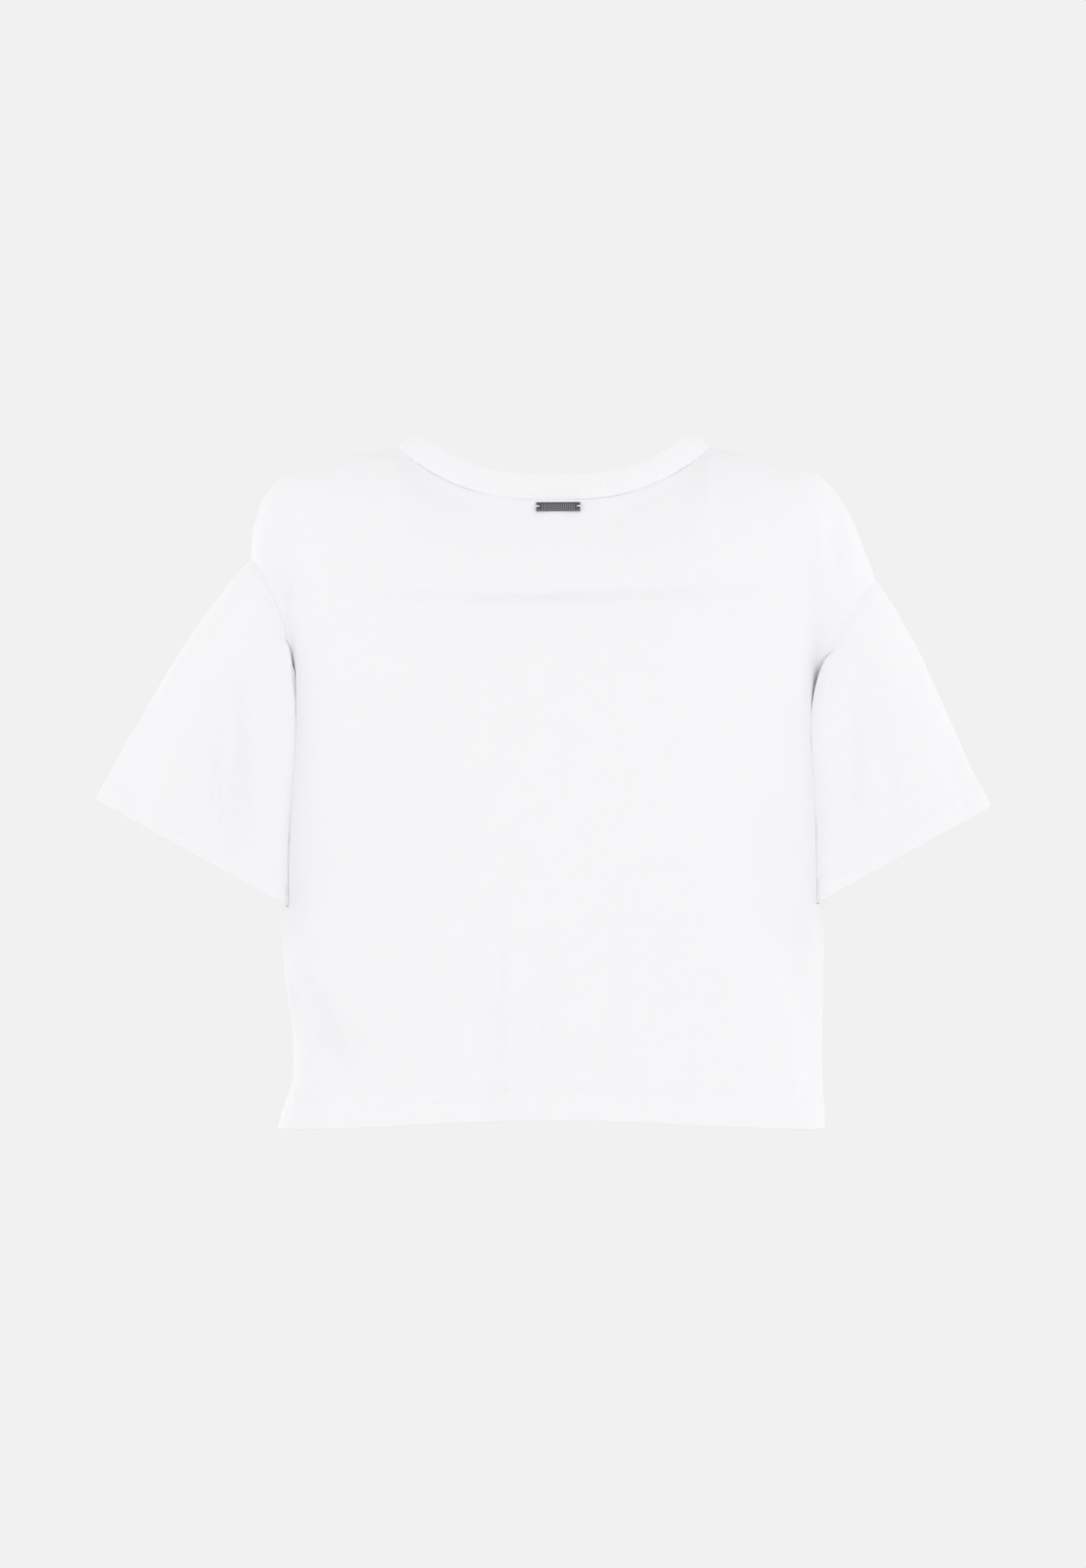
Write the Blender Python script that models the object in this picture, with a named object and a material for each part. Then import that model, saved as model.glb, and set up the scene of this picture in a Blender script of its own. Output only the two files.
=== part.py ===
"""A white short sleeve t-shirt, boxy and cropped, that keeps the hollow shape of a wearer.

The back faces -Y and the front +Y, the left sleeve is at -X, and +Z is up. The origin lies midway
between the two points where the shoulder seams meet the neck seam. Sizes are in millimetres, and MM
turns them into metres when a mesh is made. A length "out" runs away from the middle of the garment
in X, and "deep" runs away from the plane of the side and shoulder seams in Y.
"""

import itertools
import math
from typing import NamedTuple

import bmesh
import bpy
import numpy as np

MM = 0.001

# The finishes
WHITE = (0.88, 0.88, 0.9)
JERSEY_ROUGHNESS = 0.9
GUNMETAL = (0.16, 0.15, 0.17)
GUNMETAL_ROUGHNESS = 0.35

# The cloth
CLOTH = 1.2  # jersey wall
HEM_CLOTH = 2.2  # jersey turned up and stitched
SEAM_GAP = 0.3  # between two pieces that are sewn together
HEM_HEIGHT = 22.0
SLEEVE_HEM_HEIGHT = 17.5
HEM_STEP = 2.5  # height over which the doubled cloth thins to one layer

# The body of the garment
UNDERARM_Z = -215.0
HEM_Z = -495.5  # at the side seams
HEM_RISE = 11.0  # the hem's middle hangs higher than its sides
ROUNDNESS = 2.3  # power of the body's sections: 2 is an ellipse
SLEEVE_ROUNDNESS = 2.4
SECTION_STEPS = 361
ARM_CLEARANCE = 1.6  # between the sleeves and the body that they rest on
HELD_TURN = (0.1, 0.9)  # cosine of the turn where the sleeve's underside comes to lie on the body
HELD_LENGTH = (0.05, 0.35)  # and the share of its length over which it does
LEAVE_CLEAR = 0.6  # sine of the least angle between a sleeve and the panels at the armhole
START_AWAY = 1.3  # seam gaps that a sleeve starts away from the panels
START_ALONG = 0.5  # and along its own cloth
NEAR_EDGE = 0.98  # a column just inside the armhole, where a panel's slope is read

# Shares of a piece over which its folds die out, and over which the hem's curve levels out
PANEL_SIDE_CALM = 0.12
PANEL_TOP_CALM = 0.1
SLEEVE_TOP_CALM = 0.15
HEM_CURVE_SPAN = (0.2, 1.0)
FOLD_FACING = (0.1, 0.6)  # sleeve folds show on cloth that faces the back or the front

# The shoulder seam
SEAM_FROM_NECK = (24.0, -3.0)  # handle by which it leaves the neck
SEAM_LEAD = 0.8  # length of the handle before the bend, as a share of the one after it

# The neck
NECK_HALF_WIDTH = 114.0  # to the neck seam at the shoulder
EDGE_HALF_WIDTH = 97.0  # to the band's free edge
EDGE_TOP = 11.0  # the band stands this high over the shoulder seams
NECK_SHARE = 0.5  # share of a panel's half width that ends on the neck seam
NECK_POWER = 2.64  # how flat the neck curve is at its middle
EDGE_POWER = 2.8

# The bar label
BAR_LENGTH = 31.7
BAR_HEIGHT = 7.4
BAR_THICKNESS = 1.2
BAR_BEVEL = 0.35
BAR_BELOW_SEAM = 7.0  # from the neck seam to the bar's middle, along the cloth
BAR_OFF_MIDDLE = 3.0
BAR_HOLE = 1.5  # diameter of the sewing holes
BAR_HOLE_INSET = 2.4
BAR_HOLE_FACES = 12
BAR_YOKE = (0.86, 1.0)  # shares of the yoke between which the bar lies
BAR_YOKE_STEPS = 15

# Counts of faces across and along each piece. The band and the sleeves share the panels' corners.
HALF_COLUMNS = 20
HEM_ROWS = 3
BODY_ROWS = 12
YOKE_ROWS = 13
SLEEVE_ROWS = 9
BAND_STEPS = round(4 * HALF_COLUMNS * NECK_SHARE)


class Section(NamedTuple):
    """Outer sizes of the body at one height, from the middle to the cloth."""

    z: float
    left: float
    right: float
    back: float
    front: float


BODY_SECTIONS = (
    Section(z=-500, left=202, right=197.5, back=109, front=110),
    Section(z=-484, left=197, right=196.5, back=108, front=110),
    Section(z=-458, left=190, right=195.5, back=107, front=110),
    Section(z=-430, left=190, right=195.5, back=107, front=111),
    Section(z=-390, left=195, right=196, back=108, front=113),
    Section(z=-330, left=198.5, right=198, back=110, front=116),
    Section(z=-270, left=199, right=199, back=113, front=119),
    Section(z=UNDERARM_Z, left=198, right=198, back=114, front=120),
)


class Side(NamedTuple):
    """Where the left or the right half of the garment hangs, seen square on from the back."""

    sign: int
    bend: tuple  # where the shoulder seam starts to turn down (out, z)
    bend_handle: tuple
    tip_handle: tuple
    tip: tuple  # the shoulder seam's lower end, at the top of the armhole
    cuff_outer: tuple  # corners of the sleeve's opening
    cuff_inner: tuple
    cuff_half_depth: float
    cuff_forward: float


LEFT = Side(
    sign=-1, bend=(182, -14.5), bend_handle=(212, -23.5), tip_handle=(219, -41), tip=(221, -81),
    cuff_outer=(334, -256), cuff_inner=(193, -332), cuff_half_depth=38, cuff_forward=2,
)
RIGHT = Side(
    sign=1, bend=(182, -14), bend_handle=(208, -20.5), tip_handle=(224, -64), tip=(235, -97),
    cuff_outer=(318, -261), cuff_inner=(192, -329), cuff_half_depth=43, cuff_forward=3,
)


class SleeveLine(NamedTuple):
    """How a lengthwise line of the sleeve leaves the armhole and meets the cuff (out, deep, up)."""

    leave: tuple
    arrive: tuple


class SleeveLines(NamedTuple):
    """The lines at the underarm, at the middle of the back and front, and at the shoulder."""

    underarm: SleeveLine
    middle: SleeveLine
    shoulder: SleeveLine


LEFT_LINES = SleeveLines(
    underarm=SleeveLine(leave=(26, 0, -80), arrive=(-4, 0, -96)),
    middle=SleeveLine(leave=(104, 22, -70), arrive=(46, 0, -132)),
    shoulder=SleeveLine(leave=(118, 0, -120), arrive=(92, 0, -168)),
)
RIGHT_LINES = SleeveLines(
    underarm=SleeveLine(leave=(26, 0, -80), arrive=(-4, 0, -96)),
    middle=SleeveLine(leave=(96, 24, -76), arrive=(40, 0, -132)),
    shoulder=SleeveLine(leave=(85, 0, -122), arrive=(82, 0, -160)),
)


class Face(NamedTuple):
    """The back or the front: how far its neck seam and band lie from the shoulders."""

    sign: int
    neck_deep: float
    neck_drop: float
    edge_deep: float
    edge_drop: float


BACK = Face(sign=-1, neck_deep=65, neck_drop=41, edge_deep=58, edge_drop=33)
FRONT = Face(sign=1, neck_deep=94, neck_drop=98, edge_deep=84, edge_drop=92)


class Column(NamedTuple):
    """Handles (out, deep, up) of one column of a panel, from the underarm up to its top edge."""

    across: float  # 0 at the middle of the panel, 1 at the armhole
    low: tuple
    high: tuple


BACK_COLUMNS = (
    Column(across=0.00, low=(0, 0, 82), high=(0, 34, -50)),
    Column(across=0.25, low=(0, 0, 88), high=(5, 42, -40)),
    Column(across=0.50, low=(0, 1, 98), high=(6, 76, -13)),
    Column(across=0.70, low=(-4, 8, 96), high=(-6, 76, -8)),
    Column(across=0.86, low=(-15, 28, 76), high=(-24, 74, -8)),
    Column(across=1.00, low=(-26, 50, 36), high=(-18, 76, -14)),
)
FRONT_COLUMNS = (
    Column(across=0.00, low=(0, 0, 55), high=(0, 14, -38)),
    Column(across=0.25, low=(0, 0, 66), high=(4, 30, -40)),
    Column(across=0.50, low=(0, 0, 92), high=(6, 76, -16)),
    Column(across=0.70, low=(-5, 7, 96), high=(-8, 75, -10)),
    Column(across=0.86, low=(-17, 27, 76), high=(-27, 72, -9)),
    Column(across=1.00, low=(-28, 48, 36), high=(-22, 74, -14)),
)


class Fold(NamedTuple):
    """A soft ridge (height over 0) or trough (under 0) between two points seen square on."""

    x0: float
    z0: float
    x1: float
    z1: float
    width: float
    height: float


BACK_FOLDS = (
    Fold(x0=-165, z0=-106, x1=188, z1=-106, width=13, height=-3.0),  # drag across the blades
    Fold(x0=-203, z0=-388, x1=-150, z1=-462, width=15, height=-7.5),  # pull at the left side
    Fold(x0=-196, z0=-330, x1=-128, z1=-430, width=20, height=4.0),
    Fold(x0=-50, z0=-330, x1=-52, z1=-520, width=17, height=-5.0),
    Fold(x0=-14, z0=-350, x1=-12, z1=-520, width=13, height=-3.5),
    Fold(x0=58, z0=-300, x1=72, z1=-520, width=24, height=-5.5),
    Fold(x0=-104, z0=-260, x1=-112, z1=-520, width=22, height=-4.0),
    Fold(x0=128, z0=-330, x1=140, z1=-520, width=22, height=4.0),
    Fold(x0=150, z0=-250, x1=196, z1=-480, width=15, height=-5.0),  # shade at the right side
)
FRONT_FOLDS = (
    Fold(x0=-150, z0=-150, x1=-40, z1=-235, width=17, height=-3.5),  # drag from the armholes
    Fold(x0=152, z0=-160, x1=52, z1=-250, width=18, height=-4.0),
    Fold(x0=-118, z0=-290, x1=-128, z1=-520, width=22, height=-5.0),
    Fold(x0=-62, z0=-320, x1=-58, z1=-520, width=20, height=4.0),
    Fold(x0=-8, z0=-300, x1=4, z1=-520, width=24, height=-5.5),
    Fold(x0=74, z0=-330, x1=80, z1=-520, width=20, height=-4.5),
    Fold(x0=138, z0=-280, x1=150, z1=-520, width=22, height=4.5),
    Fold(x0=186, z0=-300, x1=150, z1=-420, width=16, height=-4.0),
)
LEFT_SLEEVE_FOLDS = (
    Fold(x0=-236, z0=-170, x1=-250, z1=-330, width=12, height=-6.0),  # the dark upright fold
    Fold(x0=-216, z0=-110, x1=-222, z1=-335, width=13, height=4.0),
    Fold(x0=-292, z0=-175, x1=-312, z1=-300, width=14, height=-4.5),
)
RIGHT_SLEEVE_FOLDS = (
    Fold(x0=205, z0=-105, x1=208, z1=-335, width=12, height=4.0),  # the bright inner strip
    Fold(x0=232, z0=-160, x1=240, z1=-330, width=13, height=-5.0),
    Fold(x0=288, z0=-190, x1=300, z1=-300, width=14, height=-4.5),
)


def unit(vectors):
    """Vectors along the last axis, made one long."""
    return vectors / np.linalg.norm(vectors, axis=-1, keepdims=True)


def smooth_step(values, low, high):
    """0 below low and 1 above high, with a soft rise between them."""
    share = np.clip((values - low) / (high - low), 0, 1)
    return share * share * (3 - 2 * share)


def hermite(start, start_slope, end, end_slope, share):
    """Cubic from start to end, with the slopes that it has there."""
    square, cube = share**2, share**3
    return (
        (2 * cube - 3 * square + 1) * start
        + (cube - 2 * square + share) * start_slope
        + (3 * square - 2 * cube) * end
        + (cube - square) * end_slope
    )


def bezier(first, second, third, fourth, share):
    """Cubic with four control points."""
    rest = 1 - share
    return (
        rest**3 * first
        + 3 * rest**2 * share * second
        + 3 * rest * share**2 * third
        + share**3 * fourth
    )


def spline(knots, values, at):
    """Smooth curve through a short table's values, read at many places."""
    slopes = np.gradient(values, knots, axis=0, edge_order=1)
    index = np.clip(np.searchsorted(knots, at) - 1, 0, len(knots) - 2)
    width = (knots[index + 1] - knots[index])[:, None]
    share = (at - knots[index])[:, None] / width
    return hermite(
        values[index], slopes[index] * width, values[index + 1], slopes[index + 1] * width, share
    )


def body_sizes(z):
    """(left, right, back, front) of the body at each height."""
    table = np.array(BODY_SECTIONS, float)
    return spline(table[:, 0], table[:, 1:], np.clip(z, table[0, 0], table[-1, 0]))


def section_points(across, z, face):
    """Points of one panel at the given shares of its half width and heights."""
    left, right, back, front = body_sizes(z).T
    wide = np.where(across < 0, left, right)
    deep = back if face.sign < 0 else front
    angle = np.linspace(0, math.pi / 2, SECTION_STEPS)[:, None]
    power = 2 / ROUNDNESS
    x, y = wide * np.sin(angle) ** power, deep * np.cos(angle) ** power
    lengths = np.hypot(np.diff(x, axis=0), np.diff(y, axis=0)).cumsum(axis=0)
    lengths = np.vstack([np.zeros(len(z)), lengths]) / lengths[-1]
    found = [
        (np.interp(abs(u), share, xs), np.interp(abs(u), share, ys))
        for u, share, xs, ys in zip(across, lengths.T, x.T, y.T)
    ]
    out, far = np.array(found).T
    return np.stack([np.sign(across) * out, face.sign * far, z], axis=-1)


def body_half_width(y, z, side):
    """How far out the body's cloth lies at each depth and height."""
    left, right, back, front = body_sizes(z).T
    wide = left if side.sign < 0 else right
    deep = np.where(y < 0, back, front)
    inside = np.clip(1 - (abs(y) / deep) ** ROUNDNESS, 0, 1)
    return wide * inside ** (1 / ROUNDNESS)


def neck_seam(turn, face):
    """Point on the neck seam: turn is 0 at the middle of the face and +-pi/2 at a shoulder."""
    drop = face.neck_drop * (1 - abs(np.sin(turn)) ** NECK_POWER)
    return np.stack(
        [NECK_HALF_WIDTH * np.sin(turn), face.sign * face.neck_deep * np.cos(turn), -drop], axis=-1
    )


def neck_edge(turn, face):
    """Point on the free edge of the neck band."""
    height = EDGE_TOP - face.edge_drop * (1 - abs(np.sin(turn)) ** EDGE_POWER)
    return np.stack(
        [EDGE_HALF_WIDTH * np.sin(turn), face.sign * face.edge_deep * np.cos(turn), height], axis=-1
    )


def shoulder_seam(share, side):
    """Point on the shoulder seam: share 0 at the neck and 1 at the top of the armhole."""
    corners = np.array([side.bend, side.bend_handle, side.tip_handle, side.tip], float)
    neck = np.array([NECK_HALF_WIDTH, 0.0])
    slope = corners[1] - corners[0]
    first, second = (np.clip(2 * share - half, 0, 1)[:, None] for half in (0, 1))
    lead = corners[0] - SEAM_LEAD * slope
    near = bezier(neck, neck + SEAM_FROM_NECK, lead, corners[0], first)
    far = bezier(*corners, second)
    out, z = np.where(share[:, None] < 0.5, near, far).T
    return np.stack([side.sign * out, np.zeros_like(out), z], axis=-1)


def top_edge(across, face):
    """Upper edge of a panel: the neck seam in its middle and a shoulder seam at each side."""
    turn = np.clip(across / NECK_SHARE, -1, 1) * math.pi / 2
    points = neck_seam(turn, face)
    for side in (LEFT, RIGHT):
        on_shoulder = side.sign * across > NECK_SHARE
        share = (abs(across[on_shoulder]) - NECK_SHARE) / (1 - NECK_SHARE)
        points[on_shoulder] = shoulder_seam(share, side)
    return points


def handles(columns, face):
    """Places, low handles and high handles of a panel's columns, from left armhole to right."""
    half = np.array([(row.across, *row.low, *row.high) for row in columns], float)
    mirrored = half[:0:-1] * [-1, -1, 1, 1, -1, 1, 1]
    table = np.concatenate([mirrored, half])
    table[:, [2, 5]] *= face.sign
    return table[:, 0], table[:, 1:4], table[:, 4:]


def yoke_points(across, share, face, columns):
    """Points of a panel above the underarm: share 0 at the underarm and 1 at the top edge."""
    knots, low, high = handles(columns, face)
    base = section_points(across, np.full_like(across, UNDERARM_Z), face)
    lower = base + spline(knots, low, across)
    upper = spline(knots, top_edge(knots, face) + high, across)
    return bezier(base, lower, upper, top_edge(across, face), share[:, None])


def hem_height(across):
    """Height of the hem's edge at each share of a panel's half width."""
    return HEM_Z + HEM_RISE * np.cos(across * math.pi / 2) ** 2


def relief(points, folds):
    """How far the folds lift each point off the plain form."""
    x, z = points[..., 0], points[..., 2]
    lift = np.zeros_like(x)
    for fold in folds:
        along = np.array([fold.x1 - fold.x0, fold.z1 - fold.z0])
        length = np.hypot(*along)
        along = along / length
        run = ((x - fold.x0) * along[0] + (z - fold.z0) * along[1]) / length
        off = (x - fold.x0) * along[1] - (z - fold.z0) * along[0]
        fade = np.clip(1 - abs(2 * run - 1) ** 3, 0, 1)
        lift += fold.height * fade * np.exp(-((off / fold.width) ** 2))
    return lift


def grid_normals(points, tube):
    """Outward normals of a grid of points: rows run up the cloth and columns across it."""
    up = np.gradient(points, axis=0)
    if tube:
        wrapped = np.concatenate([points[:, -1:], points, points[:, :1]], axis=1)
        over = np.gradient(wrapped, axis=1)[:, 1:-1]
    else:
        over = np.gradient(points, axis=1)
    return unit(np.cross(over, up))


def panel_rows():
    """Rows of a panel as (heights above the hem, shares of the yoke)."""
    hem = [*np.linspace(0, HEM_HEIGHT, HEM_ROWS), HEM_HEIGHT + HEM_STEP]
    body = np.linspace(HEM_HEIGHT + HEM_STEP, UNDERARM_Z - HEM_Z, BODY_ROWS + 1)[1:]
    yoke = np.linspace(0, 1, YOKE_ROWS + 1)[1:]
    return np.array([*hem, *body]), yoke


def panel_grids(face, columns, folds):
    """Outer and inner points of the back or the front."""
    across = np.linspace(-1, 1, 2 * HALF_COLUMNS + 1)
    rises, yoke = panel_rows()
    hem = hem_height(across)
    rows = []
    for rise in rises:
        share = rise / (UNDERARM_Z - HEM_Z)
        z = hem + rise + (HEM_Z - hem) * smooth_step(share, *HEM_CURVE_SPAN)
        rows.append(section_points(across, z, face))
    rows += [yoke_points(across, np.full_like(across, share), face, columns) for share in yoke]
    plain = np.array(rows)
    normals = -face.sign * grid_normals(plain, tube=False)

    # At the side and shoulder seams the wall is cut square to the plane of the seams.
    on_side = len(rises)
    on_shoulder = abs(across) >= NECK_SHARE
    for column in (0, -1):
        normals[:on_side, column, 1] = 0
    normals[-1, on_shoulder, 1] = 0
    normals = unit(normals)

    height = np.linspace(0, 1, len(rows))[:, None]
    calm = smooth_step(1 - abs(across), 0, PANEL_SIDE_CALM) * smooth_step(
        1 - height, 0, PANEL_TOP_CALM
    )
    outer = plain + normals * (relief(plain, folds) * calm)[..., None]
    thickness = np.where(np.arange(len(rows)) < HEM_ROWS, HEM_CLOTH, CLOTH)[:, None, None]
    inner = outer - normals * thickness

    for grid in (outer, inner):
        grid[:on_side, [0, -1], 1] += face.sign * SEAM_GAP / 2
        grid[-1, on_shoulder, 1] += face.sign * SEAM_GAP / 2
        neck = ~on_shoulder
        grid[-1, neck] -= unit(plain[-1, neck] - plain[-2, neck]) * SEAM_GAP / 2
    return outer, inner


def armhole_edge(side, face, columns):
    """A panel's edge at the armhole, from the underarm up, and the panel's outward normals there."""
    share = np.linspace(0, 1, YOKE_ROWS + 1)
    edge, inside = (
        yoke_points(np.full_like(share, side.sign * across), share, face, columns)
        for across in (1, NEAR_EDGE)
    )
    up = np.gradient(edge, axis=0)
    return edge, side.sign * face.sign * unit(np.cross(inside - edge, up))


def armhole(side):
    """The armhole seam, from the underarm up the back and down the front, and its normals."""
    up_back, back_normals = armhole_edge(side, BACK, BACK_COLUMNS)
    up_front, front_normals = armhole_edge(side, FRONT, FRONT_COLUMNS)
    back_normals[[0, -1]] += front_normals[[0, -1]]
    points = np.concatenate([up_back, up_front[-2:0:-1]])
    return points, unit(np.concatenate([back_normals, front_normals[-2:0:-1]]))


def rounded(values):
    """Cosines or sines of an ellipse's turn, made those of the sleeve's squarer opening."""
    return np.sign(values) * abs(values) ** (2 / SLEEVE_ROUNDNESS)


def cuff(side, turn):
    """The sleeve's open end: turn is 0 at its underarm corner and pi at its outer corner."""
    outer, inner = np.array(side.cuff_outer), np.array(side.cuff_inner)
    middle, arm = (outer + inner) / 2, (inner - outer) / 2
    out, z = (middle + arm * rounded(np.cos(turn))[:, None]).T
    y = side.cuff_forward - side.cuff_half_depth * rounded(np.sin(turn))
    return np.stack([side.sign * out, y, z], axis=-1)


def sleeve_slopes(lines, side, turn):
    """Slopes of the sleeve's lengthwise lines at the armhole and at the cuff."""
    under, middle, shoulder = np.array(lines, float)
    slopes = (
        (under + 2 * middle + shoulder) / 4
        + (under - shoulder) / 2 * np.cos(turn)[:, None, None]
        + (under - 2 * middle + shoulder) / 4 * np.cos(2 * turn)[:, None, None]
    )
    slopes[..., 0] *= side.sign
    slopes[..., 1] = -middle[:, 1] * np.sin(turn)[:, None]
    return slopes[:, 0], slopes[:, 1]


def rest_on_body(points, side, hold):
    """Moves points out until they are just clear of the body, and in to it where hold is 1."""
    x, y, z = points[..., 0], points[..., 1], points[..., 2]
    limit = body_half_width(y.ravel(), z.ravel(), side).reshape(x.shape) + ARM_CLEARANCE
    moved = points.copy()
    moved[..., 0] = side.sign * (limit + np.maximum(side.sign * x - limit, 0) * (1 - hold))
    return moved


def sleeve_grids(side, lines, folds):
    """Outer and inner points of a sleeve, from the armhole to its hem."""
    start, away = armhole(side)
    turn = np.linspace(0, 2 * math.pi, len(start), endpoint=False)
    end = cuff(side, turn)
    leave, arrive = sleeve_slopes(lines, side, turn)
    clear = (leave * away).sum(axis=1) / np.linalg.norm(leave, axis=1)
    needed = np.maximum(LEAVE_CLEAR - clear, 0) * np.linalg.norm(leave, axis=1)
    leave = leave + away * needed[:, None]
    start = start + (START_AWAY * away + START_ALONG * unit(leave)) * SEAM_GAP

    length = np.linalg.norm(end - start, axis=-1)
    hem = 1 - SLEEVE_HEM_HEIGHT / length
    step = hem - HEM_STEP / length
    shares = [step * row / SLEEVE_ROWS for row in range(SLEEVE_ROWS + 1)]
    shares += [hem, (hem + 1) / 2, np.ones_like(hem)]
    plain = np.array([hermite(start, leave, end, arrive, s[:, None]) for s in shares])
    down = np.linspace(0, 1, len(shares))[:, None]
    hold = smooth_step(np.cos(turn), *HELD_TURN) * smooth_step(down, *HELD_LENGTH)
    plain[1:] = rest_on_body(plain[1:], side, hold[1:])

    normals = -side.sign * grid_normals(plain, tube=True)
    back_or_front = smooth_step(abs(normals[..., 1]), *FOLD_FACING)
    lift = relief(plain, folds) * smooth_step(down, 0, SLEEVE_TOP_CALM) * back_or_front
    outer = plain + normals * lift[..., None]
    outer[1:] = rest_on_body(outer[1:], side, hold[1:])
    thickness = np.where(np.arange(len(shares)) > SLEEVE_ROWS, HEM_CLOTH, CLOTH)[:, None, None]
    return outer, outer - normals * thickness


class BandPoint(NamedTuple):
    """A corner of the neck band's section: share of its width, and how far it stands proud."""

    share: float
    proud: float


BAND_PROFILE = (
    BandPoint(share=0.00, proud=0.0),
    BandPoint(share=0.25, proud=0.9),
    BandPoint(share=0.55, proud=1.2),
    BandPoint(share=0.85, proud=0.8),
    BandPoint(share=0.97, proud=0.1),
    BandPoint(share=1.00, proud=-0.7),
    BandPoint(share=0.97, proud=-1.5),
    BandPoint(share=0.55, proud=-0.8),
    BandPoint(share=0.04, proud=-2.0),
)


def band_grid():
    """Points of the neck band: a row for each corner of its section, a column for each step round."""
    turn = np.linspace(0, 2 * math.pi, BAND_STEPS, endpoint=False)
    at_back = (np.cos(turn) > 0)[:, None]
    seam = np.where(at_back, neck_seam(turn, BACK), neck_seam(math.pi - turn, FRONT))
    edge = np.where(at_back, neck_edge(turn, BACK), neck_edge(math.pi - turn, FRONT))
    wrapped = np.concatenate([seam[-1:], seam, seam[:1]])
    tangent = unit(np.gradient(wrapped, axis=0)[1:-1])
    up = edge - seam
    outward = unit(np.cross(tangent, up))
    seam = seam + unit(up) * SEAM_GAP
    return np.array([seam + up * point.share + outward * point.proud for point in BAND_PROFILE])


def new_object(name, bm, material):
    """Turns a bmesh in millimetres into a closed object whose faces point out."""
    bmesh.ops.recalc_face_normals(bm, faces=bm.faces)
    bmesh.ops.scale(bm, vec=(MM, MM, MM), verts=bm.verts)
    mesh = bpy.data.meshes.new(name)
    bm.to_mesh(mesh)
    bm.free()
    mesh.shade_smooth()
    mesh.set_sharp_from_angle(angle=math.radians(50))
    mesh.materials.append(material)
    thing = bpy.data.objects.new(name, mesh)
    bpy.context.scene.collection.objects.link(thing)
    return thing


def quads(index):
    """Faces between the neighbours of a grid of vertex numbers."""
    for row, column in itertools.product(range(index.shape[0] - 1), range(index.shape[1] - 1)):
        yield (
            index[row, column],
            index[row, column + 1],
            index[row + 1, column + 1],
            index[row + 1, column],
        )


def add_wall(name, outer, inner, material, tube=False):
    """A wall of cloth between two grids of points, open at its ends if it is a tube."""
    rows, columns = outer.shape[:2]
    index = np.arange(2 * rows * columns).reshape(2, rows, columns)
    if tube:
        index = np.concatenate([index, index[:, :, :1]], axis=2)
    rims = [index[:, 0, :], index[:, -1, :]]
    if not tube:
        rims += [index[:, :, 0], index[:, :, -1]]
    bm = bmesh.new()
    points = np.concatenate([outer.reshape(-1, 3), inner.reshape(-1, 3)])
    vertices = [bm.verts.new(point) for point in points]
    for grid in (index[0], index[1], *rims):
        for corners in quads(grid):
            bm.faces.new([vertices[corner] for corner in corners])
    return new_object(name, bm, material)


def add_ring(name, grid, material):
    """A closed ring: the section's corners run along the rows and close on themselves."""
    index = np.arange(grid.shape[0] * grid.shape[1]).reshape(grid.shape[:2])
    index = np.pad(index, ((0, 1), (0, 1)), mode="wrap")
    bm = bmesh.new()
    vertices = [bm.verts.new(point) for point in grid.reshape(-1, 3)]
    for corners in quads(index):
        bm.faces.new([vertices[corner] for corner in corners])
    return new_object(name, bm, material)


def bar_place():
    """Middle and axes (along, down, out) of the bar label, just clear of the back panel."""
    half = BAR_LENGTH / 2
    rows = np.linspace(*BAR_YOKE, BAR_YOKE_STEPS)
    middle = math.asin(BAR_OFF_MIDDLE / NECK_HALF_WIDTH) * 2 / math.pi * NECK_SHARE
    reach = math.asin(half / NECK_HALF_WIDTH) * 2 / math.pi * NECK_SHARE
    lines = [
        yoke_points(np.full_like(rows, middle + step * reach), rows, BACK, BACK_COLUMNS)
        for step in (-1, -0.5, 0, 0.5, 1)
    ]
    down_cloth = np.linalg.norm(lines[2] - lines[2][-1], axis=-1)
    down_row = np.interp(BAR_BELOW_SEAM, down_cloth[::-1], rows[::-1])
    centre = yoke_points(np.array([middle]), np.array([down_row]), BACK, BACK_COLUMNS)[0]
    along = unit(lines[-1][-1] - lines[0][-1])
    down = unit(lines[2][0] - lines[2][-1])
    out = unit(np.cross(down, along))
    nearby = np.concatenate(lines)
    under_bar = nearby[abs((nearby - centre) @ down) < BAR_HEIGHT / 2]
    proud = ((under_bar - centre) @ out).max()
    return centre + out * (proud + SEAM_GAP + BAR_THICKNESS / 2), along, down, out


def add_bar(material):
    """A small bevelled metal plate with a sewing hole near each end."""
    centre, along, down, out = bar_place()
    bm = bmesh.new()
    bmesh.ops.create_cube(bm, size=1)
    bmesh.ops.scale(bm, vec=(BAR_LENGTH, BAR_HEIGHT, BAR_THICKNESS), verts=bm.verts)
    bmesh.ops.bevel(
        bm, geom=bm.edges[:], offset=BAR_BEVEL, segments=1, affect="EDGES", profile=0.5
    )
    frame = np.array([along, down, out])
    for vertex in bm.verts:
        vertex.co = centre + np.array(vertex.co) @ frame
    plate = new_object("bar_label", bm, material)
    for end in (-1, 1):
        middle = centre + along * end * (BAR_LENGTH / 2 - BAR_HOLE_INSET)
        cut_hole(plate, middle, frame, f"sewing_hole_{end}")
    return plate


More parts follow.
